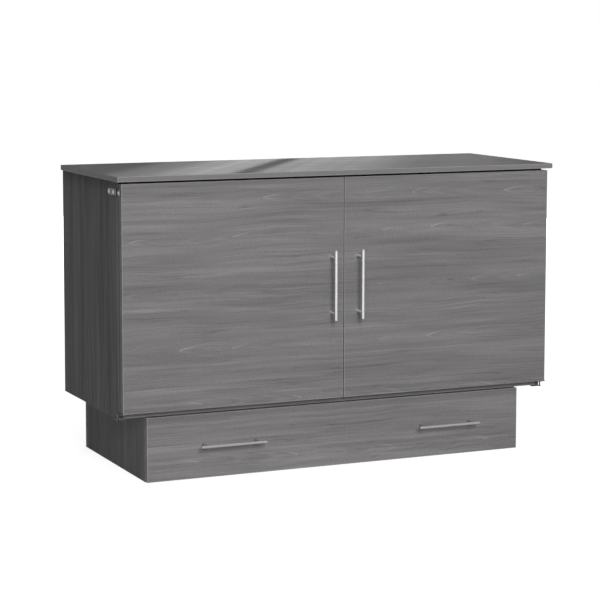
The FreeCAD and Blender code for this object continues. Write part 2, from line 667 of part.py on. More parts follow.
middle_knuckle = about(hinge_z.centre, size_of("hinge_height") / 3)
end_knuckles = (Span(hinge_z.start, middle_knuckle.start - size_of("knuckle_gap")),
                Span(middle_knuckle.end + size_of("knuckle_gap"), hinge_z.end))
case_leaves, hinge_pins, pivot_feet, case_screws, catches = [], [], [], [], []
for hand, side in SIDES:
    axis_x = hinge_axis_x * side
    seat_x = (half_case + leaf) * side
    edge_x = right_case_board.centre * side

    # Screws through the leaves, driven inwards, and through the pivot plates, driven upwards.
    near, far = (Screw(f"{hand}_case_screw_{name}", "X", seat_x, -side,
                       hinge_axis_y + size_of(f"case_leaf_screw_{name}"), hinge_z.centre, HINGE_SCREW)
                 for name in ("near", "far"))
    edge_screw = Screw(f"{hand}_edge_screw", "X", seat_x, -side,
                       hinge_axis_y - size_of("door_leaf_screw"), hinge_z.centre, HINGE_SCREW)
    foot_screws = [Screw(f"{hand}_foot_screw_{name}", "Z", foot_z.start, 1, edge_x,
                         hinge_axis_y + size_of(f"pivot_screw_{name}"), PIVOT_SCREW)
                   for name in ("near", "far")]
    frame_screw, face_screw = (Screw(f"{hand}_pivot_screw_{name}", "Z", pivot_z.start, 1, edge_x,
                                     hinge_axis_y - size_of(f"pivot_screw_{name}"), PIVOT_SCREW)
                               for name in ("near", "far"))
    case_screws.extend([near, far] + foot_screws)

    # Case side.
    side_plank = plank(f"side_plank_{hand}", "YZ", on_side(right_case_board, side),
                       Span(case_front, case_back), case_side_z, rounding)
    subpart(drilled(f"case_side_{hand}", side_plank,
                    [screw.drill for screw in [near, far] + foot_screws]), f"case_side_{hand}")

    # Door: a face board, the frame behind it and the pull.
    meeting_edge = door_x.start
    pull_x = (meeting_edge + size_of("door_pull_inset")) * side
    door_pull = Pull(f"{hand}_door_pull", Span(door_face.start, door_back), pull_x,
                     door_z.start + size_of("door_pull_rise"), True)
    face_plank = plank(f"{hand}_face_plank", "XZ", on_side(door_x, side), door_face, door_z, rounding,
                       door_pull.posts, pull_hole)
    subpart(drilled(f"{hand}_door_face", face_plank, [face_screw.drill]), f"{hand}_door_face")
    width = size_of("frame_width")
    between = on_side(door_x.trimmed(width), side)
    hinge_stile = plank(f"{hand}_hinge_stile", "XZ", on_side(from_high(door_x.end, width), side),
                        door_frame, door_z, rounding)
    group(f"{hand}_door_frame", [
        drilled(f"{hand}_hinge_stile_drilled", hinge_stile, [edge_screw.drill, frame_screw.drill]),
        plank(f"{hand}_meeting_stile", "XZ", on_side(from_low(meeting_edge, width), side), door_frame,
              door_z, rounding, door_pull.posts, pull_hole),
        plank(f"{hand}_top_rail", "XZ", between, door_frame, from_high(door_z.end, width), rounding),
        plank(f"{hand}_bottom_rail", "XZ", between, door_frame, from_low(door_z.start, width), rounding),
    ])
    group(f"{hand}_pull_screws", door_pull.screws)
    group(f"{hand}_hinge_screws", [edge_screw.solid, frame_screw.solid, face_screw.solid])

    # Upper hinge: a leaf on the case side, a leaf on the door's edge and a pin.
    pin_drill = rod(f"{hand}_pin_drill", "Z", pin, hinge_z, axis_x, hinge_axis_y)
    case_leaves.append(hinge_leaf_of(
        f"{hand}_case_leaf", side,
        Span(hinge_axis_y + web_reach, hinge_axis_y + size_of("case_leaf_length")),
        Span(hinge_axis_y, hinge_axis_y + web_reach), end_knuckles,
        [pin_drill, near.drill, far.drill]))
    running_drill = rod(f"{hand}_running_drill", "Z", pin + fit, hinge_z, axis_x, hinge_axis_y)
    door_leaf = hinge_leaf_of(
        f"{hand}_door_leaf", side,
        Span(hinge_axis_y - size_of("door_leaf_length"), hinge_axis_y - web_reach),
        Span(hinge_axis_y - web_reach, hinge_axis_y), (middle_knuckle,),
        [running_drill, edge_screw.drill])
    hinge_pins.append(rod(f"{hand}_hinge_pin", "Z", pin, hinge_z, axis_x, hinge_axis_y))

    # Lower pivot: a foot under the case side carries a pin, and a plate under the door turns on it.
    plate_x = on_side(Span(half_case - size_of("pivot_inset"), hinge_axis_x), side)
    ear = size_of("pivot_ear")
    foot = joined(f"{hand}_pivot_foot_solid", [
        block(f"{hand}_foot_plate", plate_x, from_low(hinge_axis_y, size_of("pivot_depth")), foot_z),
        rod(f"{hand}_foot_ear", "Z", ear, foot_z, axis_x, hinge_axis_y),
        rod(f"{hand}_pivot_pin", "Z", size_of("pivot_radius"), Span(foot_z.start, pivot_z.end), axis_x,
            hinge_axis_y),
    ])
    pivot_feet.append(drilled(f"{hand}_pivot_foot", foot, [screw.drill for screw in foot_screws]))
    pivot_leaf = joined(f"{hand}_pivot_leaf_solid", [
        block(f"{hand}_pivot_leaf_plate", plate_x,
              Span(hinge_axis_y - size_of("pivot_depth"), hinge_axis_y - size_of("knuckle_stand")), pivot_z),
        rod(f"{hand}_pivot_leaf_ear", "Z", ear, pivot_z, axis_x, hinge_axis_y),
    ])
    pivot_drill = rod(f"{hand}_pivot_drill", "Z", size_of("pivot_radius") + fit, pivot_z, axis_x, hinge_axis_y)
    group(f"{hand}_door_hinge_leaves", [
        door_leaf,
        drilled(f"{hand}_pivot_leaf", pivot_leaf, [pivot_drill, frame_screw.drill, face_screw.drill]),
    ])

    # A magnet on the case floor holds a plate on the door's bottom rail.
    catch_x = on_side(from_low(meeting_edge + size_of("catch_inset"), size_of("catch_width")), side)
    catches.append(block(f"{hand}_catch", catch_x, from_low(case_front, size_of("catch_size")),
                         from_low(case_floor.end, size_of("catch_size"))))
    subpart(block(f"{hand}_catch_plate", catch_x, from_low(door_back, size_of("catch_plate")),
                  Span(door_z.start + rounding, case_floor.end + size_of("catch_size"))),
            f"{hand}_catch_plate")
group("door_hinge_case_leaves", case_leaves)
group("door_hinge_pins", hinge_pins)
group("door_pivot_feet", pivot_feet)
group("case_hinge_screws", [screw.solid for screw in case_screws + rail_screws])
group("magnetic_catches", catches)

# ---- Case floor, back and base ----------------------------------------------------------

floor_y = Span(case_front, back_panel.start)
base_screws = []
for hand, side in SIDES:
    rows = count_of("case_screw_count")
    stretch = floor_y.trimmed(size_of("case_screw_inset"))
    these = []
    for index in range(rows):
        y = stretch.start + stretch.size * (index / max(rows - 1, 1))
        name = f"base_screw_{hand}_{index}"
        screw = Screw(name, "Z", case_floor.end - size_of("case_screw_rise"), -1,
                      right_base_board.centre * side, y, CASE_SCREW)
        screw.sink = rod(f"{name}_sink", "Z", size_of("case_screw_head") + size_of("screw_slack"),
                         from_high(case_floor.end, size_of("case_screw_rise")),
                         right_base_board.centre * side, y)
        these.append(screw)
    base_screws.extend(these)
    base_plank = plank(f"base_plank_{hand}", "YZ", on_side(right_base_board, side),
                       Span(drawer_face.end + size_of("drawer_side_gap"), base_back - thickness), base_z,
                       rounding)
    subpart(drilled(f"base_side_{hand}", base_plank, [screw.drill for screw in these]),
            f"base_side_{hand}")
floor_plank = plank("floor_plank", "XY", inside_case, floor_y, case_floor, rounding)
subpart(drilled("case_floor", floor_plank,
                [screw.drill for screw in base_screws] + [screw.sink for screw in base_screws]),
        "case_floor")
group("case_base_screws", [screw.solid for screw in base_screws])
board("case_back_panel", "XZ", inside_case, back_panel, Span(case_floor.start, case_top))
board("base_back_panel", "XZ", both_ways(half_base), from_high(base_back, thickness), base_z, rounding)

rest_pads = []
for hand, side in SIDES:
    for end, y in (("front", case_front + size_of("lid_pad_inset")),
                   ("back", case_back - size_of("lid_pad_inset"))):
        rest_pads.append(rod(f"rest_pad_{hand}_{end}", "Z", size_of("lid_pad_radius"),
                             Span(case_top, lid_under - size_of("rest_gap")),
                             right_case_board.centre * side, y))
group("lid_rest_pads", rest_pads)

# ---- Deck frames ------------------------------------------------------------------------

# Each frame is a cross rail with bearers that run back over the cross rails behind it. The
# drawer carries the front frame, the next two stand on legs, and the rearmost rail is fixed.
deck_top = derived("deck_top", case_floor.start - size_of("deck_clearance"), "top of the bearers")
rail_pitch = size_of("rail_width") + size_of("cross_gap")
rail_spans = [from_low(drawer_face.end + rail_pitch * number, size_of("rail_width")) for number in range(4)]
rail_tops = [deck_top - size_of("bearer_height") - size_of("slide_gap") * number for number in range(4)]
leg_x = from_high(inside_base.end - size_of("leg_gap"), size_of("rail_width"))
deck_step = derived("deck_step",
                    base_back - thickness - size_of("deck_back_gap") - size_of("deck_rest")
                    - rail_spans[3].end,
                    "travel of each deck frame past the next")
lane_pitch = size_of("bearer_width") + size_of("lane_gap")
last_bearer = leg_x.start - size_of("lane_leg_gap") - size_of("bearer_width") / 2 - lane_pitch
bearer_pitch = derived("bearer_pitch", last_bearer / (count_of("bearer_pairs") - 0.5),
                       "between neighbouring bearers of the outer frame")


def cross_rail(name, number, x):
    """The cross rail of one frame, counted back from the drawer."""
    return block(name, x, rail_spans[number], from_high(rail_tops[number], size_of("bearer_height")))


def bearers(name, number):
    """A frame's bearers, in lanes of their own, which rest on the next rail when drawn out."""
    y = Span(rail_spans[number].start, rail_spans[number + 1].end + deck_step + size_of("deck_rest"))
    bars = []
    for hand, side in SIDES:
        for index in range(count_of("bearer_pairs")):
            middle = (bearer_pitch * (index + 0.5) + lane_pitch * (number - 1)) * side
            bars.append(block(f"{name}_{hand}_{index}", about(middle, size_of("bearer_width")), y,
                              Span(rail_tops[number], deck_top)))
    return bars


group("drawer_deck_frame", [cross_rail("drawer_cross_rail", 0, both_ways(leg_x.end))]
      + bearers("drawer_bearer", 0))
for name, number in (("outer_deck", 1), ("inner_deck", 2)):
    rail = cross_rail(f"{name}_rail", number, both_ways(leg_x.end))
    legs, glides = [], []
    for hand, side in SIDES:
        x = on_side(leg_x, side)
        legs.append(block(f"{name}_leg_{hand}", x, rail_spans[number],
                          Span(size_of("glide_height"), rail_tops[number] - size_of("bearer_height"))))
        glides.append(rod(f"{name}_glide_{hand}", "Z", size_of("glide_radius"),
                          from_low(floor_plane, size_of("glide_height")), x.centre,
                          rail_spans[number].centre))
    group(f"{name}_frame", [rail] + bearers(f"{name}_bearer", number) + legs)
    group(f"{name}_glides", glides)
subpart(cross_rail("base_cross_rail", 3, inside_base), "base_cross_rail")

# ---- Drawer -----------------------------------------------------------------------------

drawer_pulls = [Pull(f"drawer_pull_{hand}", drawer_face, (half_base - size_of("drawer_pull_inset")) * side,
                     drawer_face_z.start + size_of("drawer_pull_rise"), False)
                for hand, side in SIDES]
front_plank = plank("drawer_front", "XZ", both_ways(half_base), drawer_face, drawer_face_z, rounding,
                    drawer_pulls[0].posts + drawer_pulls[1].posts, pull_hole)
subpart(front_plank, "drawer_front")
group("drawer_pull_screws", drawer_pulls[0].screws + drawer_pulls[1].screws)

half_box = leg_x.start - size_of("box_leg_gap")
box_under = derived("box_under", size_of("wheel_radius") * 2 + size_of("caster_gap") + size_of("fork_plate"),
                    "underside of the drawer box")
box_bottom = from_low(box_under, size_of("box_bottom"))
box_walls = Span(box_bottom.end, rail_tops[0] - size_of("bearer_height") - size_of("box_top_gap"))
box_y = from_low(drawer_face.end, size_of("box_depth"))
right_box_side = from_high(half_box, size_of("box_board"))
for hand, side in SIDES:
    board(f"drawer_side_{hand}", "YZ", on_side(right_box_side, side), box_y, box_walls, rounding)
board("drawer_back", "XZ", both_ways(right_box_side.start), from_high(box_y.end, size_of("box_board")),
      box_walls, rounding)
board("drawer_bottom", "XY", both_ways(half_box), box_y, box_bottom, rounding)

# Casters under the drawer box's corners.
axle_z = size_of("wheel_radius")
plate_z = from_high(box_under, size_of("fork_plate"))
cheek_z = Span(axle_z - size_of("fork_end"), plate_z.start)
forks, axles = [], []
for hand, side in SIDES:
    for end, y in (("front", box_y.start + size_of("caster_end_inset")),
                   ("rear", box_y.end - size_of("caster_end_inset"))):
        x = (half_box - size_of("caster_side_inset")) * side
        name = f"{end}_{hand}_caster"
        wheel_x = about(x, size_of("wheel_width"))
        gap = size_of("fork_gap")
        cheek = size_of("fork_cheek")
        cheeks = (from_high(wheel_x.start - gap, cheek), from_low(wheel_x.end + gap, cheek))
        pieces = [block(f"{name}_plate", about(x, size_of("fork_length")), about(y, size_of("fork_length")),
                        plate_z)]
        for index, cheek_x in enumerate(cheeks):
            pieces.append(block(f"{name}_cheek_{index}", cheek_x, about(y, size_of("fork_cheek_depth")),
                                cheek_z))
        axle_x = Span(cheeks[0].start, cheeks[1].end)
        drill = rod(f"{name}_drill", "X", size_of("axle_radius"), axle_x, y, axle_z)
        forks.append(drilled(f"{name}_fork", joined(f"{name}_fork_solid", pieces), [drill]))
        axles.append(rod(f"{name}_axle", "X", size_of("axle_radius"), axle_x, y, axle_z))
        shoulder = size_of("wheel_round")
        radius = size_of("wheel_radius")
        tread = joined(f"{name}_tread", [
            rod(f"{name}_tread_middle", "X", radius, wheel_x.trimmed(shoulder), y, axle_z),
            taper(f"{name}_tread_low", "X", (radius - shoulder, radius),
                  from_low(wheel_x.start, shoulder), y, axle_z),
            taper(f"{name}_tread_high", "X", (radius, radius - shoulder),
                  from_high(wheel_x.end, shoulder), y, axle_z),
        ])
        bore = rod(f"{name}_bore", "X", size_of("axle_radius") + fit, wheel_x, y, axle_z)
        subpart(drilled(f"{name}_wheel", tread, [bore]), f"{name}_wheel")
group("caster_forks", forks)
group("caster_axles", axles)

# ---- Mattress, folded in three ----------------------------------------------------------

section_x = about(floor_plane, size_of("mattress_width"))
section_pitch = size_of("mattress_depth") + size_of("mattress_gap")
sections = [from_high(hinge_rail.start - size_of("mattress_gap") - section_pitch * number,
                      size_of("mattress_depth")) for number in range(3)]
for number, section_y in enumerate(sections):
    board(f"mattress_section_{number + 1}", "XZ", section_x, section_y, section_z,
          size_of("mattress_round"))


def fold_cloth(name, rear, front, z):
    """The strip of cloth over the line where two sections are joined."""
    y = Span(front.end - size_of("cloth_lap"), rear.start + size_of("cloth_lap"))
    return block(name, section_x.trimmed(size_of("mattress_round")), y, z)


# The rear pair of sections is joined along the top and the front pair along the bottom.
group("mattress_fold_cloths", [
    fold_cloth("rear_fold_cloth", sections[0], sections[1], from_low(section_z.end, size_of("cloth"))),
    fold_cloth("front_fold_cloth", sections[1], sections[2], from_high(section_z.start, size_of("cloth"))),
])

# ---- Loose slats, stacked flat ----------------------------------------------------------

slat_pitch = size_of("slat_height") + size_of("slat_gap")
slat_reach = inside_base.end - size_of("slat_end_gap")
slat_x = both_ways(slat_reach)
slat_y = from_low(case_front + size_of("slat_door_gap"), size_of("slat_width"))
webbing_x = about(slat_reach - size_of("webbing_inset"), size_of("webbing_width"))
slats, webbing = [], []
for number in range(count_of("slat_count")):
    slat_start = case_floor.end + slat_pitch * number
    slats.append(plank(f"bed_slat_{number}", "XY", slat_x, slat_y, from_low(slat_start, size_of("slat_height")),
                       size_of("slat_round")))
    if number > 0:
        for hand, side in SIDES:
            webbing.append(block(f"webbing_{hand}_{number}", on_side(webbing_x, side), slat_y,
                                 from_high(slat_start, size_of("slat_gap"))))
group("bed_slats", slats)
group("slat_webbing", webbing)

# ---- Check and write --------------------------------------------------------------------

document.recompute()
for item in document.Objects:
    if "Invalid" in item.State or "Error" in item.State:
        raise RuntimeError(f"{item.Label} failed: {item.State}")
for piece in subparts:
    if piece.Shape.isNull() or not piece.Shape.isValid():
        raise RuntimeError(f"{piece.Label} has no valid shape")

os.makedirs("parts", exist_ok=True)
for piece in subparts:
    piece.Shape.exportStep(f"parts/{piece.Label}.step")
    box = piece.Shape.BoundBox
    print(f"{piece.Label}: {len(piece.Shape.Solids)} solids, {box.XMin:.1f} {box.YMin:.1f} {box.ZMin:.1f}"
          f" to {box.XMax:.1f} {box.YMax:.1f} {box.ZMax:.1f}")
print(f"{len(subparts)} sub-parts, deck step {float(sheet.get('deck_step')):.1f}")
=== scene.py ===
"""A closed cabinet bed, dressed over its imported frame.

Lengths are in metres, in the frame's own axes: X to the right, Y to the back and Z up.
"""

import json
import logging
import math
from collections.abc import Iterator
from contextlib import contextmanager
from dataclasses import dataclass, field
from enum import Enum
from functools import reduce

import bpy
from mathutils import Matrix, Vector

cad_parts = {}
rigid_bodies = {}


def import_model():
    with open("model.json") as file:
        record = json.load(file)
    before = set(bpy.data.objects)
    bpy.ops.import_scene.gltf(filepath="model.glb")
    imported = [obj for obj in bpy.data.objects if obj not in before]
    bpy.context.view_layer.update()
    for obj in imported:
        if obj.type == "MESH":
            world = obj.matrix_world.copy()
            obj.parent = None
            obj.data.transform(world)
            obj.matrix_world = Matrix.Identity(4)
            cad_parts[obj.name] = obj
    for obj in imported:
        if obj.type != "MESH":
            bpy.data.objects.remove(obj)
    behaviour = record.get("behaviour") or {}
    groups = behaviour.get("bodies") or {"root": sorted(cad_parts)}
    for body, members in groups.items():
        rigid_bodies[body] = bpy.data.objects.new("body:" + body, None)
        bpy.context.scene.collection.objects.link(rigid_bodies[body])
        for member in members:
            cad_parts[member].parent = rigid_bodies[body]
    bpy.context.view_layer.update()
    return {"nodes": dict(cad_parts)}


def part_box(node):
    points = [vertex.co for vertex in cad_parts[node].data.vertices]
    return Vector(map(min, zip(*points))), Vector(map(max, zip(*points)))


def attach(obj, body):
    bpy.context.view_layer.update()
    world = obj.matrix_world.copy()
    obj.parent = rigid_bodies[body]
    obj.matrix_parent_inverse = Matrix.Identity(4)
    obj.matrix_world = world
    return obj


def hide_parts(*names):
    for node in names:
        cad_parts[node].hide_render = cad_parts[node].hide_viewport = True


logging.basicConfig(level=logging.INFO, format="%(message)s")
log = logging.getLogger("cabinet_bed")

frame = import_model()

Material = bpy.types.Material
Thing = bpy.types.Object
Socket = bpy.types.NodeSocket
Number = Socket | float
Span = tuple[float, float]
Point = tuple[float, float, float]
Colour = tuple[float, float, float]
HANDS = ("left", "right")
SLAT_PITCH = 0.020
STOOD_UP = (math.pi / 2, 0.0, 0.0)  # Stands a level plane up to face the front.
NOISE_SPAN = (0.3, 0.7)  # Smooth noise lies almost wholly in this range.
EYE_RAYS = ("Is Camera Ray", "Is Glossy Ray", "Is Transmission Ray")


# ---- Node trees -------------------------------------------------------------------------


def shaded(tone: Colour, level: float) -> Colour:
    """Multiply a colour by a level."""
    return tuple(part * level for part in tone)


class Graph:
    """A node tree, with a short call for each kind of node that repeats."""

    def __init__(self, tree: bpy.types.NodeTree) -> None:
        """Take up a node tree."""
        self.tree = tree

    def feed(self, socket: Socket, value: Number | Point | None) -> None:
        """Link a socket to an output, or give it a plain value.

        Args:
            socket: The input to feed.
            value: An output, a plain value, or None to leave the input alone.
        """
        if isinstance(value, Socket):
            self.tree.links.new(value, socket)
        elif value is not None:
            socket.default_value = value

    def add(self, kind: str, *values: Number | Point | None, **settings: object) -> bpy.types.Node:
        """Add one node.

        Args:
            kind: The node's type.
            *values: What its first inputs take.
            **settings: Properties of the node.

        Returns:
            The new node.
        """
        node = self.tree.nodes.new(kind)
        for name, value in settings.items():
            setattr(node, name, value)
        for socket, value in zip(node.inputs, values):
            self.feed(socket, value)
        return node

    def math(self, operation: str, *values: Number) -> Socket:
        """Work out one number with a Math node."""
        return self.add("ShaderNodeMath", *values, operation=operation).outputs[0]

    def chain(self, operation: str, *values: Number) -> Socket:
        """Carry one operation through numbers, from the first to the last."""
        return reduce(lambda result, value: self.math(operation, result, value), values)

    def plus(self, *values: Number) -> Socket:
        """Add numbers up."""
        return self.chain("ADD", *values)

    def minus(self, value: Number, less: Number) -> Socket:
        """Take one number from another."""
        return self.math("SUBTRACT", value, less)

    def times(self, *values: Number) -> Socket:
        """Multiply numbers."""
        return self.chain("MULTIPLY", *values)

    def over(self, value: Number, divisor: Number) -> Socket:
        """Divide one number by another."""
        return self.math("DIVIDE", value, divisor)

    def bell(self, value: Socket) -> Socket:
        """Read a bell curve, 1 at zero."""
        return self.math("EXPONENT", self.times(value, value, -1.0))

    def parts(self, vector: Socket) -> list[Socket]:
        """Split a vector or a colour into its three numbers."""
        return list(self.add("ShaderNodeSeparateXYZ", vector).outputs)

    def whole(self, *values: Number) -> Socket:
        """Make a vector of its X, Y and Z."""
        return self.add("ShaderNodeCombineXYZ", *values).outputs[0]

    def noise(self, vector: Socket, scale: float = 1.0, detail: float = 2.0, roughness: float = 0.5,
              distortion: float = 0.0) -> Socket:
        """Read smooth noise.

        Args:
            vector: Where to read it.
            scale: How fine it is.
            detail: Finer layers over the first.
            roughness: Strength of the finer layers.
            distortion: How far it is warped.

        Returns:
            The noise, about 0.5 in the mean.
        """
        node = self.add("ShaderNodeTexNoise", vector, None, scale, detail, roughness)
        self.feed(node.inputs["Distortion"], distortion)
        return node.outputs["Fac"]

    def drift(self, along: Socket, across: Socket, rates: Span, slice_at: Number,
              detail: float = 2.0) -> Socket:
        """Read noise that changes at one rate along the grain and at another across it."""
        place = self.whole(self.times(along, rates[0]), self.times(across, rates[1]), slice_at)
        return self.noise(place, detail=detail)

    def toss(self, number: Socket) -> bpy.types.Node:
        """Draw a random value and a random colour for a number."""
        return self.add("ShaderNodeTexWhiteNoise", None, number, noise_dimensions="1D")

    def remap(self, value: Socket, low: float, high: float, to_low: float, to_high: float) -> Socket:
        """Carry a range of numbers to another range, held at its ends."""
        return self.add("ShaderNodeMapRange", value, low, high, to_low, to_high).outputs[0]

    def ramp(self, value: Socket, *stops: tuple[float, Colour]) -> Socket:
        """Turn a number into a colour.

        Args:
            value: The number, from 0 to 1.
            *stops: Places and colours along the ramp.

        Returns:
            The colour's socket.
        """
        node = self.add("ShaderNodeValToRGB", value)
        elements = node.color_ramp.elements
        while len(elements) < len(stops):
            elements.new(0.5)
        for element, (position, colour) in zip(elements, stops):
            element.position = position
            element.color = (*colour, 1.0)
        return node.outputs["Color"]

    def seen(self) -> Socket:
        """Read 1 for the rays whose hits the picture shows, and 0 for the others."""
        rays = self.add("ShaderNodeLightPath").outputs
        return self.chain("MAXIMUM", *(rays[name] for name in EYE_RAYS))


class Bench(Graph):
    """The node tree of one material, built round its Principled shader."""

    def __init__(self, name: str, colour: Colour, roughness: float, **sockets: float) -> None:
        """Start a material with plain values on the shader's own sockets.

        Args:
            name: The material's name.
            colour: Base colour, linear.
            roughness: Roughness of the shader.
            **sockets: Other sockets of the shader, with spaces written as underscores.
        """
        self.material = bpy.data.materials.new(name)
        self.material.use_nodes = True
        super().__init__(self.material.node_tree)
        self.shader = self.tree.nodes["Principled BSDF"]
        self.shader.inputs["Base Color"].default_value = (*colour, 1.0)
        self.shader.inputs["Roughness"].default_value = roughness
        for socket, value in sockets.items():
            self.shader.inputs[socket.replace("_", " ")].default_value = value
        self.place = self.add("ShaderNodeTexCoord").outputs["Object"]

    def colour(self, value: Socket, *stops: tuple[float, Colour]) -> None:
        """Feed the shader's base colour from a number's place on a ramp."""
        self.feed(self.shader.inputs["Base Color"], self.ramp(value, *stops))

    def roughness(self, value: Socket, low: float, high: float, span: Span = NOISE_SPAN) -> None:
        """Feed the shader's roughness, which goes from low to high over a number's span."""
        self.feed(self.shader.inputs["Roughness"], self.remap(value, *span, low, high))

    def rounded(self, radius: float) -> Socket:
        """Read the normal of the surface with its edges rounded by a radius."""
        return self.add("ShaderNodeBevel", radius, samples=4).outputs[0]

    def edge(self, radius: float) -> Socket:
        """Find the edges, where a finish lays a lighter colour: wear, and on the laminate also a painted
        highlight.

        Args:
            radius: How far the mask reaches from an edge.

        Returns:
            The edge mask, broken up by noise, from 0 to 1.
        """
        flat = self.add("ShaderNodeNewGeometry").outputs["Normal"]
        match = self.add("ShaderNodeVectorMath", flat, self.rounded(radius), operation="DOT_PRODUCT")
        turned = self.remap(match.outputs["Value"], 1.0, 0.80, 0.0, 1.0)
        return self.times(turned, self.noise(self.place, 90.0, 3.0, 0.7))

    def bump(self, height: Socket, depth: float, strength: float, over: Socket | None = None) -> None:
        """Raise the surface by a height.

        Args:
            height: The height, from 0 to 1.
            depth: What a height of 1 is, in metres.
            strength: Share of the effect.
            over: The normal that the height is raised over, where it isn't the plain one.
        """
        node = self.add("ShaderNodeBump")
        fed = {"Distance": depth, "Strength": strength, "Height": height, "Normal": over}
        for name, value in fed.items():
            self.feed(node.inputs[name], value)
        self.feed(self.shader.inputs["Normal"], node.outputs[0])


class Grain(Enum):
    """The axis that a board's grain runs along."""

    ACROSS = 0
    DEEP = 1
    UPRIGHT = 2


# ---- Finishes ---------------------------------------------------------------------------


@dataclass(frozen=True)
class Streaks:
    """A layer of streaks in a printed grain, and its share of the shade."""

    length: float
    width: float
    detail: float
    slice_at: float
    share: float = 1.0

    def read(self, bench: Bench, along: Socket, across: Socket) -> Socket:
        """Read the streaks, about zero in the mean."""
        place = bench.whole(bench.over(along, self.length), bench.over(across, self.width), self.slice_at)
        return bench.minus(bench.noise(place, detail=self.detail, roughness=0.6), 0.5)


@dataclass(frozen=True)
class Rings:
    """A flat-sawn board's growth rings: arches in lanes, with a pale hook at some of their tips."""

    lane: float = 0.19
    middles: Span = (0.3, 0.7)
    starts: float = 0.9
    blunt: float = 0.0035
    steep: float = 6.0
    ripple: float = 0.030
    arch_rate: float = 16.0
    arch_reach: float = 0.020
    arch_share: float = 0.60
    hook_pitch: float = 0.185
    hook_width: float = 0.0017
    hook_middle: float = 0.0035
    hook_reach: float = 0.0075
    hook_share: float = 0.62
    hook_draw: Span = (0.45, 0.8)

    def read(self, bench: Bench, along: Socket, bent: Socket) -> tuple[Socket, Socket]:
        """Read the arches and the hooks.

        Args:
            bench: The material's tree.
            along: Place along the grain.
            bent: Place across the grain, bent by the wander.

        Returns:
            The soft shade of the arches about zero, and the pale hooks.
        """
        # Each lane has its own middle line, direction and start.
        lane = bench.math("FLOOR", bench.over(bent, self.lane))
        red, green, blue = bench.parts(bench.toss(bench.plus(lane, 0.37)).outputs["Color"])
        middle = bench.times(bench.plus(lane, bench.remap(red, 0.0, 1.0, *self.middles)), self.lane)
        off = bench.minus(bent, middle)
        turn = bench.minus(bench.times(bench.math("ROUND", green), 2.0), 1.0)
        start = bench.plus(bench.times(along, turn), bench.times(blue, self.starts))
        leg = bench.math("SQRT", bench.plus(bench.times(off, off), self.blunt ** 2))
        ripple = bench.times(bench.drift(along, bent, (14.0, 60.0), lane, 1.0), self.ripple)
        reach = bench.plus(bench.minus(start, bench.times(leg, self.steep)), ripple)
        shade = bench.noise(bench.whole(bench.times(reach, self.arch_rate), lane, 0.0))
        arches = bench.times(bench.minus(shade, 0.5), bench.bell(bench.over(off, self.arch_reach)))

        # A hook is the pale rim of an arch near its tip, on one side of the lane.
        period = bench.over(reach, self.hook_pitch)
        phase = bench.minus(bench.math("FRACT", period), 0.5)
        slope = bench.times(bench.over(off, leg), self.steep)
        steep = bench.math("SQRT", bench.plus(bench.times(slope, slope), 1.0))
        rim = bench.bell(bench.over(bench.times(phase, self.hook_pitch / self.hook_width), steep))
        tip = bench.bell(bench.over(bench.minus(off, self.hook_middle), self.hook_reach))
        arch = bench.whole(bench.math("FLOOR", period), lane, 0.0)
        drawn = bench.add("ShaderNodeTexWhiteNoise", arch, noise_dimensions="2D").outputs["Value"]
        return arches, bench.times(rim, tip, bench.remap(drawn, *self.hook_draw, 0.0, 1.0))


@dataclass(frozen=True)
class Opening:
    """The opening in a door's frame: its reach from the bed's middle, and its height."""

    near: float
    far: float
    low: float
    high: float

    def turned(self, bench: Bench, axes: list[Socket]) -> list[Socket]:
        """Turn the grain of the rails below and above the opening, which stand between the stiles.

        Args:
            bench: The material's tree.
            axes: Place along X, Y and Z.

        Returns:
            The axes, with X and Z exchanged on the rails.
        """
        x, y, z = axes
        side = bench.math("ABSOLUTE", x)
        between = bench.times(bench.math("GREATER_THAN", side, self.near),
                              bench.math("LESS_THAN", side, self.far))
        outside = bench.math("MAXIMUM", bench.math("LESS_THAN", z, self.low),
                             bench.math("GREATER_THAN", z, self.high))
        swap = bench.times(bench.minus(x, z), bench.times(outside, between))
        return [bench.minus(x, swap), y, bench.plus(z, swap)]


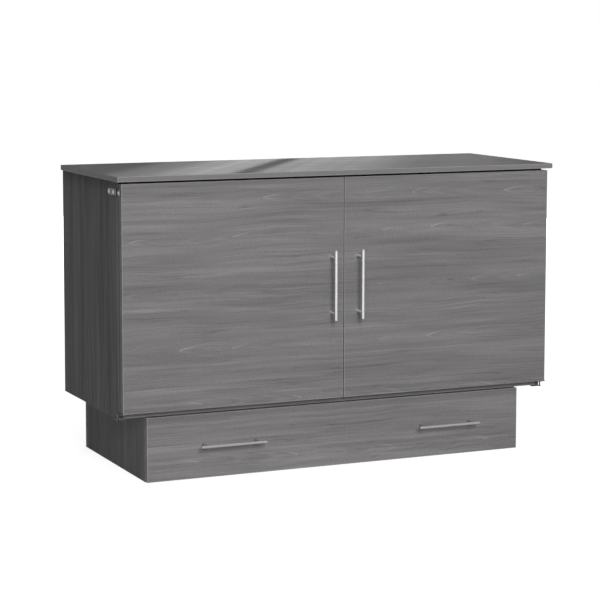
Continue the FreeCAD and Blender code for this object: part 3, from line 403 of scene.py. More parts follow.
@dataclass(frozen=True)
class Laminate:
    """Grey wood-pattern laminate: long streaks with pale hooks where the growth rings turn."""

    name: str
    grain: Grain
    tone: Colour = (0.205, 0.199, 0.202)
    contrast: float = 1.0
    roughness: float = 0.52
    gloss: float = 0.04
    shift: float = 0.0
    opening: Opening | None = None
    wander: float = 0.050
    tremble: float = 0.007
    broad: Streaks = Streaks(0.80, 0.055, 2.0, 1.7, share=0.90)
    middle: Streaks = Streaks(0.50, 0.0125, 2.0, 4.1, share=0.58)
    fine: Streaks = Streaks(0.30, 0.0036, 2.0, 8.3, share=0.72)
    pores: Streaks = Streaks(0.009, 0.0032, 1.5, 2.9, share=0.52)
    lines: Streaks = Streaks(0.62, 0.0150, 1.0, 6.2, share=0.26)
    broken: Streaks = Streaks(0.22, 0.0300, 1.0, 3.6)
    rings: Rings = Rings()
    levels: tuple[Span, ...] = ((0.0, 0.62), (0.333, 1.0), (0.667, 1.45), (1.0, 1.9))
    brightest: float = 1.5
    round_over: float = 0.0016
    # The edge mask's reach and strength: the edges are lightened partly as wear, mostly as a painted
    # highlight.
    edge_reach: float = 0.0042
    wear: float = 6.0

    def make(self) -> Material:
        """Build the laminate.

        Returns:
            The material.
        """
        bench = Bench(self.name, self.tone, self.roughness, Specular_IOR_Level=self.gloss)
        axes = bench.parts(bench.place)
        if self.opening is not None:
            axes = self.opening.turned(bench, axes)
        along = axes.pop(self.grain.value)
        across = bench.plus(*axes, self.shift)

        # The streaks wander a little, as the print does.
        wander = bench.minus(bench.drift(along, across, (1.6, 5.0), 0.3), 0.5)
        tremble = bench.minus(bench.drift(along, across, (9.0, 30.0), 7.1), 0.5)
        bent = bench.plus(across, bench.times(wander, self.wander), bench.times(tremble, self.tremble))

        # Calm zones soften the finer streaks, and broken dark lines follow the contours of their noise.
        broad, middle, fine, pores, lines, broken = (layer.read(bench, along, bent) for layer in (
            self.broad, self.middle, self.fine, self.pores, self.lines, self.broken))
        zone = bench.remap(bench.drift(along, bent, (2.6, 11.0), 5.9, 1.0), 0.35, 0.65, 0.45, 1.35)
        middle, fine = bench.times(middle, zone), bench.times(fine, zone)
        contours = bench.times(bench.remap(bench.math("ABSOLUTE", lines), 0.006, 0.022, -1.0, 0.0),
                               bench.remap(broken, -0.05, 0.12, 0.0, 1.0))
        arches, hooks = self.rings.read(bench, along, bent)
        layers = ((broad, self.broad.share), (middle, self.middle.share), (fine, self.fine.share),
                  (pores, self.pores.share), (contours, self.lines.share), (arches, self.rings.arch_share),
                  (hooks, self.rings.hook_share))
        shade = bench.plus(*(bench.times(layer, share * self.contrast) for layer, share in layers))
        # Lighter colour along the edges: partly wear, mostly a painted highlight of the rounded edges
        # catching the light.
        value = bench.plus(shade, bench.times(bench.edge(self.edge_reach), self.wear), 0.5)
        stops = ((place, shaded(self.tone, level)) for place, level in self.levels)
        bench.colour(bench.over(value, self.brightest), *stops)
        bench.roughness(fine, self.roughness + 0.06, self.roughness - 0.05, (-0.3, 0.3))
        bench.bump(bench.plus(fine, pores, 0.5), 0.00012, 0.5, bench.rounded(self.round_over))
        return bench.material


@dataclass(frozen=True)
class DrawnSteel:
    """Steel brushed along one axis. Behind the plane Y = posts, where that is set, stand turned posts,
    painted paler as a painted highlight.
    """

    name: str
    grain: Grain
    tone: Colour
    roughness: float
    line: float = 0.0005
    along_rate: float = 9.0
    posts: float | None = None
    # Colour of the posts: paler than the bar, a painted highlight.
    post_highlight_tone: Colour = (0.90, 0.90, 0.89)

    def make(self) -> Material:
        """Build the steel.

        Returns:
            The material.
        """
        bench = Bench(self.name, self.tone, self.roughness, Metallic=0.6)
        axes = bench.parts(bench.place)
        rates = [1.0 / self.line] * 3
        rates[self.grain.value] = self.along_rate
        lines = bench.noise(bench.whole(*(bench.times(axis, rate) for axis, rate in zip(axes, rates))))
        mixed = bench.plus(bench.times(lines, 0.7), bench.times(bench.noise(bench.place, 30.0), 0.3))
        low, high = shaded(self.tone, 0.86), shaded(self.tone, 1.12)
        if self.posts is None:
            bench.colour(mixed, (0.25, low), (0.75, high))
        else:
            # The ramp's lower half is the bar, and its upper half is the posts, painted paler: a painted
            # highlight.
            behind = bench.math("GREATER_THAN", axes[1], self.posts)
            bench.colour(bench.times(bench.plus(mixed, behind), 0.5),
                         (0.125, low), (0.375, high), (0.49, high), (0.50, self.post_highlight_tone))
        bench.roughness(lines, self.roughness - 0.07, self.roughness + 0.10)
        bench.bump(lines, 0.00002, 0.35)
        return bench.material


@dataclass(frozen=True)
class PlatedSteel:
    """Small steel parts with a dull plating and light wear."""

    name: str
    tone: Colour = (0.085, 0.088, 0.085)
    roughness: float = 0.42
    edge_reach: float = 0.0005
    round_over: float = 0.0004

    def make(self) -> Material:
        """Build the plating.

        Returns:
            The material.
        """
        bench = Bench(self.name, self.tone, self.roughness, Metallic=1.0)
        cloud = bench.noise(bench.place, 160.0, 3.0, 0.6)
        speck = bench.noise(bench.place, 900.0)
        worn = bench.plus(cloud, bench.times(bench.edge(self.edge_reach), 0.6))
        bench.colour(worn, (0.3, shaded(self.tone, 0.75)), (0.6, self.tone), (1.0, shaded(self.tone, 1.5)))
        bench.roughness(cloud, self.roughness - 0.08, self.roughness + 0.14)
        bench.bump(speck, 0.00003, 0.4, bench.rounded(self.round_over))
        return bench.material


@dataclass(frozen=True)
class BareWood:
    """Unfinished light wood with fine growth lines. Pieces stacked at a pitch have a tone each."""

    name: str
    grain: Grain
    pale: Colour = (0.56, 0.43, 0.30)
    dark: Colour = (0.37, 0.26, 0.165)
    ring_rate: float = 34.0
    pore_rate: float = 900.0
    pitch: float = 0.0
    start: float = 0.0
    spread: float = 0.55

    def make(self) -> Material:
        """Build the wood.

        Returns:
            The material.
        """
        bench = Bench(self.name, self.pale, 0.62, Specular_IOR_Level=0.3)
        axes = bench.parts(bench.place)
        height = axes[2]
        along = axes.pop(self.grain.value)
        warp = bench.times(bench.noise(bench.place, 2.2), 5.0)
        body = bench.whole(bench.plus(bench.times(axes[0], self.ring_rate), warp),
                           bench.times(axes[1], self.ring_rate), bench.times(along, 1.6))
        rings = bench.noise(body, 1.0, 3.0, 0.55, 0.6)
        fibres = bench.whole(*(bench.times(axis, self.pore_rate) for axis in axes), bench.times(along, 22.0))
        pore = bench.noise(fibres, detail=1.5)
        lines = bench.math("FRACT", bench.times(rings, 7.0))
        tone = bench.plus(bench.times(lines, 0.55), bench.times(pore, 0.45))
        if self.pitch:
            piece = bench.math("FLOOR", bench.over(bench.minus(height, self.start), self.pitch))
            drawn = bench.toss(bench.plus(piece, 0.61)).outputs["Value"]
            tone = bench.plus(tone, bench.times(bench.minus(drawn, 0.5), self.spread))
        between = tuple(0.5 * (pale + dark) for pale, dark in zip(self.pale, self.dark))
        bench.colour(tone, (0.15, self.pale), (0.6, between), (1.0, self.dark))
        bench.roughness(pore, 0.56, 0.72)
        bench.bump(bench.plus(pore, bench.times(lines, 0.3)), 0.00015, 0.5)
        return bench.material


@dataclass(frozen=True)
class Knit:
    """The mattress's knitted cover: small loops in columns, with a soft cloudiness."""

    name: str
    tone: Colour = (0.74, 0.73, 0.70)
    loop: float = 0.0022

    def make(self) -> Material:
        """Build the knit.

        Returns:
            The material.
        """
        bench = Bench(self.name, self.tone, 0.9, Sheen_Weight=0.25, Specular_IOR_Level=0.2)
        x, y, z = bench.parts(bench.place)
        turn = 2.0 * math.pi / self.loop
        column = bench.math("SINE", bench.times(bench.plus(x, y), turn))
        row = bench.math("SINE", bench.times(bench.minus(z, y), turn))
        loops = bench.times(column, row)
        fuzz = bench.noise(bench.place, 420.0, 3.0, 0.6)
        cloud = bench.noise(bench.place, 7.0, 3.0)
        soft = bench.plus(bench.times(fuzz, 0.5), bench.times(cloud, 0.4))
        shade = bench.plus(bench.times(loops, 0.16), soft)
        bench.colour(shade, (0.15, shaded(self.tone, 0.78)), (0.7, self.tone))
        bench.roughness(fuzz, 0.82, 0.96)
        bench.bump(bench.plus(bench.times(loops, 0.5), fuzz), 0.0006, 0.6)
        return bench.material


@dataclass(frozen=True)
class Webbing:
    """Dark woven tape with a twill."""

    name: str
    tone: Colour = (0.055, 0.055, 0.060)
    twill_rate: float = 3600.0
    cross_rate: float = 5200.0

    def make(self) -> Material:
        """Build the webbing.

        Returns:
            The material.
        """
        bench = Bench(self.name, self.tone, 0.75, Sheen_Weight=0.3, Specular_IOR_Level=0.3)
        x, y, z = bench.parts(bench.place)
        twill = bench.math("SINE", bench.times(bench.plus(x, bench.plus(y, z)), self.twill_rate))
        cross = bench.math("SINE", bench.times(x, self.cross_rate))
        threads = bench.plus(bench.times(bench.plus(twill, cross), 0.25), 0.5)
        fuzz = bench.noise(bench.place, 600.0)
        shade = bench.plus(threads, bench.times(fuzz, 0.2))
        bench.colour(shade, (0.2, self.tone), (1.0, shaded(self.tone, 2.1)))
        bench.roughness(fuzz, 0.68, 0.85)
        bench.bump(threads, 0.0004, 0.7)
        return bench.material


@dataclass(frozen=True)
class Moulding:
    """Moulded plastic or rubber with a fine spark texture."""

    name: str
    tone: Colour = (0.035, 0.035, 0.037)
    roughness: float = 0.5
    pit: float = 0.0009

    def make(self) -> Material:
        """Build the moulding.

        Returns:
            The material.
        """
        bench = Bench(self.name, self.tone, self.roughness, Specular_IOR_Level=0.4)
        cloud = bench.noise(bench.place, 45.0)
        bench.colour(cloud, (0.3, self.tone), (0.75, tuple(part * 1.35 + 0.01 for part in self.tone)))
        bench.roughness(cloud, self.roughness - 0.06, self.roughness + 0.12)
        bench.bump(bench.noise(bench.place, 1.0 / self.pit), 0.00006, 0.6)
        return bench.material


@dataclass(frozen=True)
class Melamine:
    """Plain grey-faced board of the drawer box."""

    name: str
    tone: Colour = (0.34, 0.335, 0.325)
    edge_reach: float = 0.001
    round_over: float = 0.0008

    def make(self) -> Material:
        """Build the board's face.

        Returns:
            The material.
        """
        bench = Bench(self.name, self.tone, 0.58, Specular_IOR_Level=0.35)
        fibre = bench.noise(bench.place, 260.0, 4.0, 0.65)
        cloud = bench.noise(bench.place, 5.0, 3.0)
        worn = bench.times(bench.edge(self.edge_reach), 0.4)
        shade = bench.plus(bench.times(fibre, 0.6), bench.times(cloud, 0.4), worn)
        bench.colour(shade, (0.3, shaded(self.tone, 0.86)), (0.7, shaded(self.tone, 1.1)))
        bench.roughness(fibre, 0.52, 0.66)
        bench.bump(fibre, 0.00008, 0.5, bench.rounded(self.round_over))
        return bench.material


# ---- Shaping ----------------------------------------------------------------------------


def dress(material: Material, *nodes: str) -> None:
    """Give CAD nodes a finish.

    Args:
        material: The finish.
        *nodes: The nodes' names.
    """
    for name in nodes:
        thing = frame["nodes"][name]
        if not thing.material_slots:
            thing.data.materials.append(material)
        for slot in thing.material_slots:
            slot.material = material


def take_up(thing: Thing) -> None:
    """Select one object alone and make it the active one.

    Args:
        thing: The object.
    """
    bpy.ops.object.select_all(action="DESELECT")
    thing.select_set(True)
    bpy.context.view_layer.objects.active = thing


def settle(thing: Thing) -> None:
    """Move an object's place into its mesh, so that it sits unturned at the origin."""
    take_up(thing)
    bpy.ops.object.transform_apply(location=True, rotation=True, scale=True)


def settled(name: str, scale: Vector | Point = (1.0, 1.0, 1.0)) -> Thing:
    """Name, scale and settle the primitive that was just added.

    Args:
        name: Its name.
        scale: Its scale along its own axes.

    Returns:
        The object.
    """
    thing = bpy.context.object
    thing.name = name
    thing.scale = scale
    settle(thing)
    return thing


def twin_of(piece: Thing, name: str, shift: Vector | Point) -> Thing:
    """Copy a piece to another place.

    Args:
        piece: The piece.
        name: The copy's name.
        shift: How far the copy moves.

    Returns:
        The copy.
    """
    twin = piece.copy()
    twin.data = piece.data.copy()
    twin.name = name
    bpy.context.scene.collection.objects.link(twin)
    twin.location = shift
    settle(twin)
    return twin


@contextmanager
def editing(thing: Thing) -> Iterator[None]:
    """Open an object in edit mode with all of it selected, and close it again.

    Args:
        thing: The object.

    Yields:
        Nothing, while the object is open.
    """
    take_up(thing)
    bpy.ops.object.mode_set(mode="EDIT")
    bpy.ops.mesh.select_all(action="SELECT")
    yield
    bpy.ops.object.mode_set(mode="OBJECT")


def apply_modifier(thing: Thing, kind: str, **settings: object) -> None:
    """Add one modifier, set it and apply it.

    Args:
        thing: The object.
        kind: The modifier's type.
        **settings: Its settings.
    """
    take_up(thing)
    modifier = thing.modifiers.new(kind.title(), kind)
    for name, value in settings.items():
        setattr(modifier, name, value)
    bpy.ops.object.modifier_apply(modifier=modifier.name)


def smooth(thing: Thing, degrees: float) -> None:
    """Shade an object smooth, but for edges sharper than an angle."""
    take_up(thing)
    bpy.ops.object.shade_smooth_by_angle(angle=math.radians(degrees))


def outwards(thing: Thing) -> None:
    """Merge an object's doubled points and turn its faces outwards.

    Args:
        thing: The object.
    """
    with editing(thing):
        bpy.ops.mesh.remove_doubles(threshold=0.00002)
        bpy.ops.mesh.normals_make_consistent(inside=False)


def corners(node: str) -> list[Vector]:
    """Find the lowest and the highest corner of a CAD node."""
    return [Vector(corner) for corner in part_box(node)]


def finish_piece(piece: Thing, material: Material, node: str) -> None:
    """Give a soft piece its finish and its slot, and let it stand for a CAD node of the cabinet.

    Args:
        piece: The piece.
        material: Its finish.
        node: The CAD node that it replaces.
    """
    piece.data.materials.clear()
    piece.data.materials.append(material)
    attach(piece, "cabinet")
    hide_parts(node)
    log.info("%s: %d faces", piece.name, len(piece.data.polygons))


# ---- Sub-assemblies ---------------------------------------------------------------------


Finish = Laminate | DrawnSteel | PlatedSteel | BareWood | Knit | Webbing | Moulding | Melamine


def made(finish: Finish) -> Material:
    """Fill a field of the palette with the material of a finish."""
    return field(default_factory=finish.make)


@dataclass
class Palette:
    """Every finish of the bed, made once."""

    front: Material = made(Laminate("front_laminate", Grain.ACROSS))
    lid: Material = made(Laminate("lid_laminate", Grain.ACROSS, contrast=0.5, roughness=0.38, gloss=0.05,
                                  shift=0.31))
    # The case sides are a darker copy of the laminate: painted shade for the weaker light on the sides.
    side: Material = made(Laminate("side_laminate", Grain.UPRIGHT, (0.150, 0.148, 0.150), contrast=1.3,
                                   gloss=0.012, shift=0.11))
    base: Material = made(Laminate("base_laminate", Grain.UPRIGHT, contrast=1.1, gloss=0.015, shift=0.43))
    # The drawer front is a lighter copy of the front laminate: painted light for the light it lacks low down.
    drawer: Material = made(Laminate("drawer_laminate_painted_light", Grain.ACROSS, (0.224, 0.2175, 0.221), shift=0.17))
    frame: Material = made(Laminate("frame_laminate", Grain.UPRIGHT, (0.165, 0.163, 0.165), gloss=0.02,
                                    shift=0.23, opening=Opening(0.0615, 0.744, low=0.306, high=0.949)))
    inner: Material = made(Laminate("inner_laminate", Grain.ACROSS, contrast=0.8, shift=0.57))
    # The case floor is a lighter copy of the laminate: painted light on its front edge, which lies in the
    # doors' shade.
    lightened_ledge: Material = made(Laminate("floor_laminate_painted_light", Grain.ACROSS, (0.285, 0.277, 0.281), contrast=0.8,
                                    shift=0.57))
    board: Material = made(Melamine("plain_board"))
    bar: Material = made(DrawnSteel("upright_bar_steel", Grain.UPRIGHT, (0.58, 0.58, 0.575), 0.23,
                                    posts=-0.357))
    # The level bars are a darker copy of the upright bars' steel: painted shade for their darker reflections.
    level_bar: Material = made(DrawnSteel("level_bar_steel_darkened", Grain.ACROSS, (0.36, 0.345, 0.35), 0.21))
    hinge: Material = made(PlatedSteel("hinge_plating"))
    screw: Material = made(PlatedSteel("screw_plating", (0.34, 0.34, 0.33), 0.36))
    slat: Material = made(BareWood("slat_wood", Grain.ACROSS, pitch=SLAT_PITCH, start=0.242))
    bearer: Material = made(BareWood("bearer_wood", Grain.DEEP))
    knit: Material = made(Knit("mattress_knit"))
    piping: Material = made(Knit("mattress_piping", (0.42, 0.42, 0.41), 0.0012))
    webbing: Material = made(Webbing("slat_tape"))
    plastic: Material = made(Moulding("dark_plastic"))
    rubber: Material = made(Moulding("wheel_rubber", (0.06, 0.06, 0.062), 0.62, 0.0014))


@dataclass
class Case:
    """The fixed case and base."""

    palette: Palette

    def build(self) -> None:
        """Dress the fixed boards and fittings."""
        dress(self.palette.side, "case_side_left", "case_side_right")
        dress(self.palette.base, "base_side_left", "base_side_right")
        # The case floor takes the lighter copy of the laminate, painted light.
        dress(self.palette.lightened_ledge, "case_floor")
        dress(self.palette.inner, "lid_hinge_rail", "base_back_panel", "case_back_panel")
        dress(self.palette.bearer, "base_cross_rail")
        dress(self.palette.plastic, "lid_rest_pads", "magnetic_catches")
        dress(self.palette.hinge, "door_hinge_case_leaves", "door_pivot_feet", "lid_hinge_rail_leaves")
        dress(self.palette.bar, "door_hinge_pins")
        dress(self.palette.level_bar, "lid_hinge_pins")
        dress(self.palette.screw, "case_hinge_screws", "case_base_screws")
        log.info("case dressed")


@dataclass
class Lid:
    """The hinged lid."""

    palette: Palette

    def build(self) -> None:
        """Dress the lid board and its fittings."""
        dress(self.palette.lid, "lid_panel")
        dress(self.palette.hinge, "lid_hinge_lid_leaves")
        dress(self.palette.screw, "lid_hinge_screws")
        log.info("lid dressed")


@dataclass
class Door:
    """One of the two doors."""

    palette: Palette
    hand: str

    def build(self) -> None:
        """Dress the door, its pull and its fittings."""
        dress(self.palette.front, f"{self.hand}_door_face")
        dress(self.palette.frame, f"{self.hand}_door_frame")
        dress(self.palette.bar, f"{self.hand}_door_pull")
        dress(self.palette.hinge, f"{self.hand}_door_hinge_leaves", f"{self.hand}_catch_plate")
        dress(self.palette.screw, f"{self.hand}_pull_screws", f"{self.hand}_hinge_screws")
        log.info("%s door dressed", self.hand)


@dataclass
class Drawer:
    """The drawer with its casters, and the deck frames that it draws out."""

    palette: Palette

    def build(self) -> None:
        """Dress the drawer, the casters and the deck frames."""
        dress(self.palette.drawer, "drawer_front")
        dress(self.palette.board, "drawer_side_left", "drawer_side_right", "drawer_back", "drawer_bottom")
        dress(self.palette.level_bar, "drawer_pull_left", "drawer_pull_right")
        dress(self.palette.hinge, "caster_forks", "caster_axles")
        dress(self.palette.screw, "drawer_pull_screws")
        dress(self.palette.bearer, "drawer_deck_frame", "outer_deck_frame", "inner_deck_frame")
        dress(self.palette.plastic, "outer_deck_glides", "inner_deck_glides")
        wheels = (f"{end}_{hand}_caster_wheel" for end in ("front", "rear") for hand in HANDS)
        dress(self.palette.rubber, *wheels)
        log.info("drawer dressed")


@dataclass
class Bedding:
    """The folded mattress, the cloths that join its sections, and the stack of slats."""

    palette: Palette
    voxel: float = 0.012
    skin_room: float = 0.006
    skin_gap: float = 0.0005
    swell: float = 0.0072
    rounding: float = 0.014
    channel: float = 0.17
    stitch_share: float = 0.55
    face_slack: float = 0.002
    pressure: float = 4.0
    stiffness: float = 12.0
    cover_mass: float = 0.3
    frames: int = 20
    piping_radius: float = 0.0035
    piping_inset: float = 0.35
    cloth: float = 0.0012
    cloth_round: float = 0.0004
    tape: float = 0.0012
    tape_width: float = 0.030
    tape_from_end: float = 0.240
    tape_turn: float = 0.0012
    tape_tail: float = 0.008
    slat_gap: float = 0.002

    def build(self) -> None:
        """Make the soft pieces and dress the slats."""
        dress(self.palette.slat, "bed_slats")
        self.sections()
        self.fold_cloths()
        self.tapes()

    def sections(self) -> None:
        """Make one mattress section and its piping, and copy both for the other two."""
        names = [f"mattress_section_{number}" for number in (1, 2, 3)]
        low, high = corners(names[1])
        room = Vector((self.skin_room,) * 3)
        skin_low, skin_high = low + room, high - room
        bpy.ops.mesh.primitive_cube_add(size=1.0, location=(skin_low + skin_high) / 2)
        pad = settled("mattress_pad_2", skin_high - skin_low)
        with editing(pad):
            bpy.ops.mesh.bevel(offset=self.rounding, segments=2, affect="EDGES")
        pad.data.remesh_voxel_size = self.voxel
        bpy.ops.object.voxel_remesh()
        self.inflate(pad, low, high)
        apply_modifier(pad, "SUBSURF", levels=1, render_levels=1)
        bpy.ops.object.shade_smooth()
        piping = self.piping(low, high)
        for number, name in zip((1, 3), (names[0], names[2])):
            shift = corners(name)[0] - low
            self.declare(twin_of(pad, f"mattress_pad_{number}", shift), name)
            self.declare(twin_of(piping, f"mattress_piping_{number}", shift), name)
        self.declare(pad, names[1])
        self.declare(piping, names[1])

    def inflate(self, pad: Thing, low: Vector, high: Vector) -> None:
        """Swell a section between its sewn channels with the cloth simulation.

        Args:
            pad: The remeshed section.
            low: Lowest corner of its space.
            high: Highest corner of its space.
        """
        start = [vertex.co.copy() for vertex in pad.data.vertices]
        group = pad.vertex_groups.new(name="sewn")
        middle = (low + high) / 2
        pitch = (high.z - low.z) / round((high.z - low.z) / self.channel)
        face = (high.y - low.y) / 2 - self.skin_room - self.face_slack
        for vertex in pad.data.vertices:
            height = (vertex.co.z - low.z) / pitch
            on_line = abs(height - round(height)) * pitch < self.voxel * self.stitch_share
            if on_line and abs(vertex.co.y - middle.y) > face:
                group.add([vertex.index], 1.0, "REPLACE")
        take_up(pad)
        cloth = pad.modifiers.new("Swell", "CLOTH")
        cloth.settings.quality = 5
        cloth.settings.mass = self.cover_mass
        cloth.settings.tension_stiffness = self.stiffness
        cloth.settings.compression_stiffness = self.stiffness
        cloth.settings.use_pressure = True
        cloth.settings.uniform_pressure_force = self.pressure
        cloth.settings.effector_weights.gravity = 0.0
        cloth.settings.vertex_group_mass = "sewn"
        cloth.point_cache.frame_start = 1
        cloth.point_cache.frame_end = self.frames
        for number in range(1, self.frames + 1):
            bpy.context.scene.frame_set(number)
        bpy.ops.object.modifier_apply(modifier=cloth.name)
        bpy.context.scene.frame_set(1)
        gap = Vector((self.skin_gap,) * 3)
        for vertex, before in zip(pad.data.vertices, start):
            move = vertex.co - before
            if move.length > self.swell:
                move *= self.swell / move.length
            vertex.co = [min(max(value, least), most)
                         for value, least, most in zip(before + move, low + gap, high - gap)]
        pad.vertex_groups.clear()

    def piping(self, low: Vector, high: Vector) -> Thing:
        """Sew a round piping along the edges of a section's two large faces.

        Args:
            low: Lowest corner of the section's space.
            high: Highest corner of its space.

        Returns:
            Both rings of piping, as one mesh.
        """
        inset = self.skin_room + self.rounding * self.piping_inset
        middle = (low + high) / 2
        rings = []
        for y in (low.y + inset, high.y - inset):
            bpy.ops.mesh.primitive_plane_add(size=1.0, location=(middle.x, y, middle.z), rotation=STOOD_UP)
            ring = settled("piping_ring", (high.x - low.x - 2 * inset, high.z - low.z - 2 * inset, 1.0))
            with editing(ring):
                bpy.ops.mesh.bevel(offset=self.rounding, segments=4, affect="VERTICES")
                bpy.ops.mesh.select_all(action="SELECT")
                bpy.ops.mesh.delete(type="ONLY_FACE")
            rings.append(ring)
        for ring in rings:
            ring.select_set(True)
        bpy.ops.object.join()
        bpy.context.object.name = "mattress_piping_2"
        bpy.ops.object.convert(target="CURVE")
        curve = bpy.context.object.data
        curve.bevel_depth = self.piping_radius
        curve.bevel_resolution = 2
        bpy.ops.object.convert(target="MESH")
        piping = bpy.context.object
        outwards(piping)
        smooth(piping, 60.0)
        return piping

    def declare(self, piece: Thing, name: str) -> None:
        """Args:
            piece: The pad or the piping.
            name: The CAD node that it stands for.
        """
        piped = "piping" in piece.name
        finish = self.palette.piping if piped else self.palette.knit
        finish_piece(piece, finish, name)

    def fold_cloths(self) -> None:
        """Lay the two cloths that join the sections, one over the rear fold and one under the front."""
        node_low, node_high = corners("mattress_fold_cloths")
        first, second, third = (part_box(f"mattress_section_{number}") for number in (1, 2, 3))
        lap = node_high.y - first[0][1]
        over, under = node_high.z - self.cloth, node_low.z
        for name, rear, front, z, lies_on in (
                ("rear_fold_cloth", first, second, over, ("mattress_pad_1", "mattress_pad_2")),
                ("front_fold_cloth", second, third, under, ("case_floor",))):
            low = Vector((node_low.x, front[1][1] - lap, z))
            high = Vector((node_high.x, rear[0][1] + lap, z + self.cloth))
            bpy.ops.mesh.primitive_grid_add(x_subdivisions=120, y_subdivisions=10, size=1.0,
                                            location=(low + high) / 2)
            cloth = settled(name, (high.x - low.x, high.y - low.y, 1.0))
            apply_modifier(cloth, "SOLIDIFY", thickness=self.cloth, offset=0.0)
            apply_modifier(cloth, "BEVEL", width=self.cloth_round, segments=1, limit_method="ANGLE")
            smooth(cloth, 30.0)
            finish_piece(cloth, self.palette.piping, "mattress_fold_cloths")

    def tapes(self) -> None:
        """Lead a tape between the stacked slats on the left, and copy it to the right."""
        slat_low, slat_high = corners("bed_slats")
        count = round((slat_high.z - slat_low.z + self.slat_gap) / SLAT_PITCH)
        route = self.tape_route(slat_low, slat_high, count)
        centre = slat_high.x - self.tape_from_end
        start = (-centre, *route[0])
        bpy.ops.mesh.primitive_plane_add(size=1.0, location=start)
        tape = settled("left_slat_tape", (self.tape_width, 0.001, 1.0))
        with editing(tape):
            # The plane is pressed into one edge across the tape, and that edge is led along the route.
            bpy.ops.transform.resize(value=(1.0, 0.0, 1.0), center_override=start)
            bpy.ops.mesh.remove_doubles(threshold=0.0001)
            bpy.ops.mesh.select_mode(type="EDGE")
            bpy.ops.mesh.select_all(action="SELECT")
            for here, there in zip(route, route[1:]):
                step = (0.0, there[0] - here[0], there[1] - here[1])
                bpy.ops.mesh.extrude_region_move(TRANSFORM_OT_translate={"value": step})
        apply_modifier(tape, "SOLIDIFY", thickness=self.tape, offset=0.0)
        outwards(tape)
        smooth(tape, 50.0)
        for piece in (tape, twin_of(tape, "right_slat_tape", (2 * centre, 0.0, 0.0))):
            finish_piece(piece, self.palette.webbing, "slat_webbing")

    def tape_route(self, low: Vector, high: Vector, count: int) -> list[Span]:
        """Work out a tape's path, back and forth through the stack and round the slats' edges.

        Args:
            low: Lowest corner of the stack.
            high: Highest corner of the stack.
            count: Number of slats.

        Returns:
            Places along the path, as Y and Z.
        """
        radius, tail = self.tape_turn, self.tape_tail
        front = low.y - radius
        ends = (high.y + radius, front)
        gaps = [low.z + SLAT_PITCH * number - self.slat_gap / 2 for number in range(1, count)]
        bends = [math.pi / 2 * share / 3 for share in range(4)]
        route = [(low.y + tail, gaps[0])]
        for number, (height, above) in enumerate(zip(gaps, gaps[1:])):
            edge = ends[number % 2]
            inwards = radius if edge == front else -radius
            route += [(edge + inwards * (1 - math.sin(turn)), height + radius * (1 - math.cos(turn)))
                      for turn in bends]
            route += [(edge + inwards * (1 - math.cos(turn)), above - radius * (1 - math.sin(turn)))
                      for turn in bends]
        last = ends[len(gaps) % 2]
        route.append((last + (tail if last == front else -tail), gaps[-1]))
        return route


# ---- Studio -----------------------------------------------------------------------------


class Reach(Enum):
    """What a lamp lights: everything, the lid board alone, or everything but the lid board."""

    ALL = 0
    LID = 1
    REST = 2


@dataclass(frozen=True)
class Softbox:
    """A square lamp: its place round the bed, in degrees to the left of straight ahead, and its power."""

    name: str
    side: float
    lift: float
    away: float
    size: float
    power: float
    lights: Reach = Reach.ALL
    mirrored: bool = True


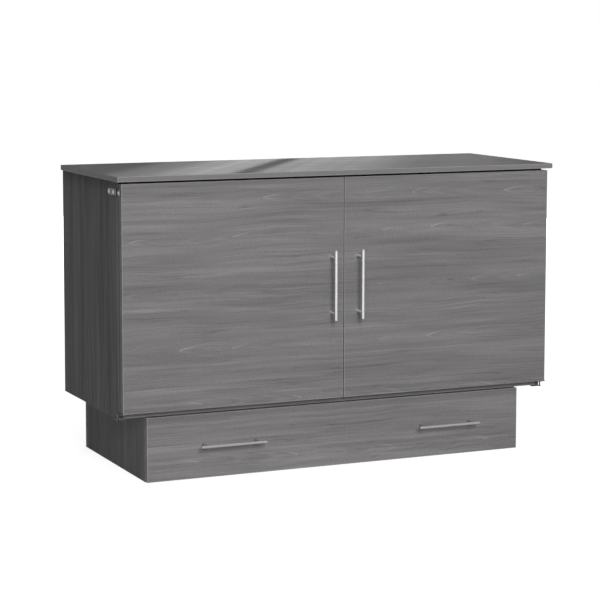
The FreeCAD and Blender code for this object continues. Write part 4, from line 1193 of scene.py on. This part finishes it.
@dataclass
class Studio:
    """The floor, the lamps, the surroundings and the camera."""

    camera_place: Point = (-2.9956, -6.6173, 1.5443)
    yaw: float = -24.186
    pitch: float = -6.155
    roll: float = 0.086
    focal_pixels: float = 2046.84
    image_pixels: float = 600.0
    centre_row: float = 240.0
    sensor: float = 36.0
    ambient: float = 0.03
    floor_size: float = 60.0
    floor_drop: float = 0.0005
    floor_tone: float = 0.38
    floor_glow: float = 0.85
    glow_fade: Span = (1.6, 3.6)
    flag_place: Point = (1.0, 2.6, 1.75)
    flag_size: Point = (6.0, 1.5, 1.0)
    bed_middle: Point = (0.0, -0.3, 0.6)
    lid_middle: Point = (0.0, 0.0, 1.034)
    window_side: float = 35.4
    window_lift: float = 50.0
    window_away: float = 5.0
    window_power: float = 2430.0
    window_radius: float = 0.012
    window_tint: Colour = (0.97, 1.0, 0.985)
    window_reach: float = 0.9
    # Brightness across the lid, from its left corner to its right: a post stands at -0.11 m.
    window_levels: tuple[Span, ...] = (
        (-0.90, 0.0), (-0.54, 0.0), (-0.46, 0.30), (-0.38, 0.45), (-0.30, 0.76), (-0.23, 0.94), (-0.16, 0.80),
        (-0.130, 0.05), (-0.095, 0.05), (-0.060, 0.70), (0.10, 0.64), (0.20, 0.54), (0.30, 0.35),
        (0.40, 0.21), (0.62, 0.20), (0.80, 0.03))
    bars_rate: float = 190.0
    bars_levels: Span = (0.68, 1.32)
    softboxes: tuple[Softbox, ...] = (
        Softbox("key_lamp", side=11.0, lift=22.0, away=14.0, size=4.2, power=1190.0),
        Softbox("high_lamp", side=14.0, lift=62.0, away=12.0, size=9.0, power=620.0, lights=Reach.REST),
        Softbox("lid_lamp", side=0.0, lift=14.0, away=18.0, size=4.5, power=680.0, lights=Reach.LID),
        Softbox("low_lamp", side=34.0, lift=-6.0, away=4.3, size=1.0, power=15.0),
        Softbox("right_back_lamp", side=-140.0, lift=4.0, away=9.0, size=3.5, power=460.0, mirrored=False),
        Softbox("left_back_lamp", side=-179.0, lift=6.0, away=9.0, size=3.5, power=300.0, mirrored=False),
    )

    def build(self) -> None:
        """Set up everything that isn't the bed."""
        for step in (self.camera, self.floor, self.world, self.flag, self.lamps, self.window):
            step()
        bpy.context.scene.view_settings.view_transform = "Standard"
        log.info("studio ready")

    def camera(self) -> None:
        """Place the camera where the photograph was taken from."""
        data = bpy.data.cameras.new("photo_camera")
        data.sensor_width = self.sensor
        data.lens = self.focal_pixels / self.image_pixels * self.sensor
        data.shift_y = (self.centre_row - self.image_pixels / 2) / self.image_pixels
        data.clip_end = 100.0
        camera = bpy.data.objects.new("photo_camera", data)
        turn = (Matrix.Rotation(math.radians(self.yaw), 4, "Z")
                @ Matrix.Rotation(math.radians(90.0 + self.pitch), 4, "X")
                @ Matrix.Rotation(math.radians(self.roll), 4, "Z"))
        camera.matrix_world = Matrix.Translation(self.camera_place) @ turn
        bpy.context.scene.collection.objects.link(camera)
        bpy.context.scene.camera = camera

    def floor(self) -> None:
        """Lay a pale floor that is white to the eye but for the object's shadow near it."""
        bpy.ops.mesh.primitive_plane_add(size=self.floor_size, location=(0.0, 0.0, -self.floor_drop))
        floor = settled("studio_floor")
        bench = Bench("studio_floor", (self.floor_tone,) * 3, 0.9, Specular_IOR_Level=0.0)
        away = bench.add("ShaderNodeVectorMath", bench.place, operation="LENGTH").outputs["Value"]
        level = bench.remap(away, *self.glow_fade, self.floor_glow, 1.0)
        glow = bench.add("ShaderNodeEmission", None, bench.times(bench.seen(), level))
        both = bench.add("ShaderNodeAddShader", bench.shader.outputs[0], glow.outputs[0])
        bench.feed(bench.tree.nodes["Material Output"].inputs["Surface"], both.outputs[0])
        floor.data.materials.append(bench.material)

    def world(self) -> None:
        """Surround the scene with white for the eye and a soft grey for the light."""
        world = bpy.data.worlds.new("studio_world")
        world.use_nodes = True
        bpy.context.scene.world = world
        graph = Graph(world.node_tree)
        graph.tree.nodes.clear()
        light, eye = (graph.add("ShaderNodeBackground", (1.0, 1.0, 1.0, 1.0), strength).outputs[0]
                      for strength in (self.ambient, 1.0))
        mix = graph.add("ShaderNodeMixShader", graph.seen(), light, eye)
        graph.add("ShaderNodeOutputWorld", mix.outputs[0])

    def hang(self, data: bpy.types.Light, target: Point, side: float, lift: float, away: float) -> Thing:
        """Hang a lamp round a target and turn it to face the target.

        Args:
            data: The lamp.
            target: What it faces.
            side: Degrees round the target, from straight behind it towards the right.
            lift: Degrees above the target.
            away: Distance from it.

        Returns:
            The hung lamp.
        """
        side, lift = math.radians(side), math.radians(lift)
        out = Vector((math.sin(side) * math.cos(lift), math.cos(side) * math.cos(lift), math.sin(lift)))
        lamp = bpy.data.objects.new(data.name, data)
        lamp.location = Vector(target) + out * away
        lamp.rotation_euler = (-out).to_track_quat("-Z", "Y").to_euler()
        bpy.context.scene.collection.objects.link(lamp)
        return lamp

    def lamps(self) -> None:
        """Hang the softboxes. Those at the back light the sides that the picture doesn't show."""
        for box in self.softboxes:
            data = bpy.data.lights.new(box.name, "AREA")
            data.size = box.size
            data.energy = box.power
            lamp = self.hang(data, self.bed_middle, 180.0 + box.side, box.lift, box.away)
            lamp.visible_glossy = box.mirrored
            self.aim(lamp, box.lights)

    def aim(self, lamp: Thing, lights: Reach) -> None:
        """Limit what a lamp lights.

        Args:
            lamp: The lamp.
            lights: What it may light.
        """
        if lights is Reach.ALL:
            return
        lid = frame["nodes"]["lid_panel"]
        receivers = bpy.data.collections.new(f"{lamp.name}_receivers")
        for thing in bpy.context.scene.objects:
            if thing.type == "MESH" and (thing == lid) == (lights is Reach.LID):
                receivers.objects.link(thing)
        lamp.light_linking.receiver_collection = receivers

    def window(self) -> None:
        """Hang the window lamp at the back, which lays its streaks of light across the lid alone."""
        data = bpy.data.lights.new("window_lamp", "POINT")
        data.energy = self.window_power
        data.shadow_soft_size = self.window_radius
        data.use_nodes = True
        graph = Graph(data.node_tree)
        x, _, z = graph.parts(graph.add("ShaderNodeTexCoord").outputs["Normal"])
        slope = graph.over(x, z)
        reach = self.window_reach / self.window_away
        stops = (((offset + self.window_reach) / (2 * self.window_reach), shaded(self.window_tint, level))
                 for offset, level in self.window_levels)
        bars = graph.add("ShaderNodeTexNoise", None, slope, self.bars_rate, 3.0, noise_dimensions="1D")
        strength = graph.remap(bars.outputs["Fac"], *NOISE_SPAN, *self.bars_levels)
        emission = graph.tree.nodes["Emission"]
        graph.feed(emission.inputs["Color"], graph.ramp(graph.remap(slope, -reach, reach, 0.0, 1.0), *stops))
        graph.feed(emission.inputs["Strength"], strength)
        lamp = self.hang(data, self.lid_middle, self.window_side, self.window_lift, self.window_away)
        lamp.visible_glossy = False
        self.aim(lamp, Reach.LID)

    def flag(self) -> None:
        """Stand a dark flag behind the bed, out of the picture, which keeps the glare off the lid."""
        bpy.ops.mesh.primitive_plane_add(size=1.0, location=self.flag_place, rotation=STOOD_UP)
        flag = settled("studio_flag", self.flag_size)
        flag.data.materials.append(Bench("flag_cloth", (0.03, 0.03, 0.03), 0.9).material)
        flag.visible_camera = False
        flag.visible_diffuse = False
        flag.visible_shadow = False


def main() -> None:
    """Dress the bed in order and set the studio."""
    palette = Palette()
    assemblies = [Case(palette), Lid(palette)]
    assemblies += [Door(palette, hand) for hand in HANDS]
    assemblies += [Drawer(palette), Bedding(palette), Studio()]
    for assembly in assemblies:
        assembly.build()


if __name__ == "__main__":
    main()
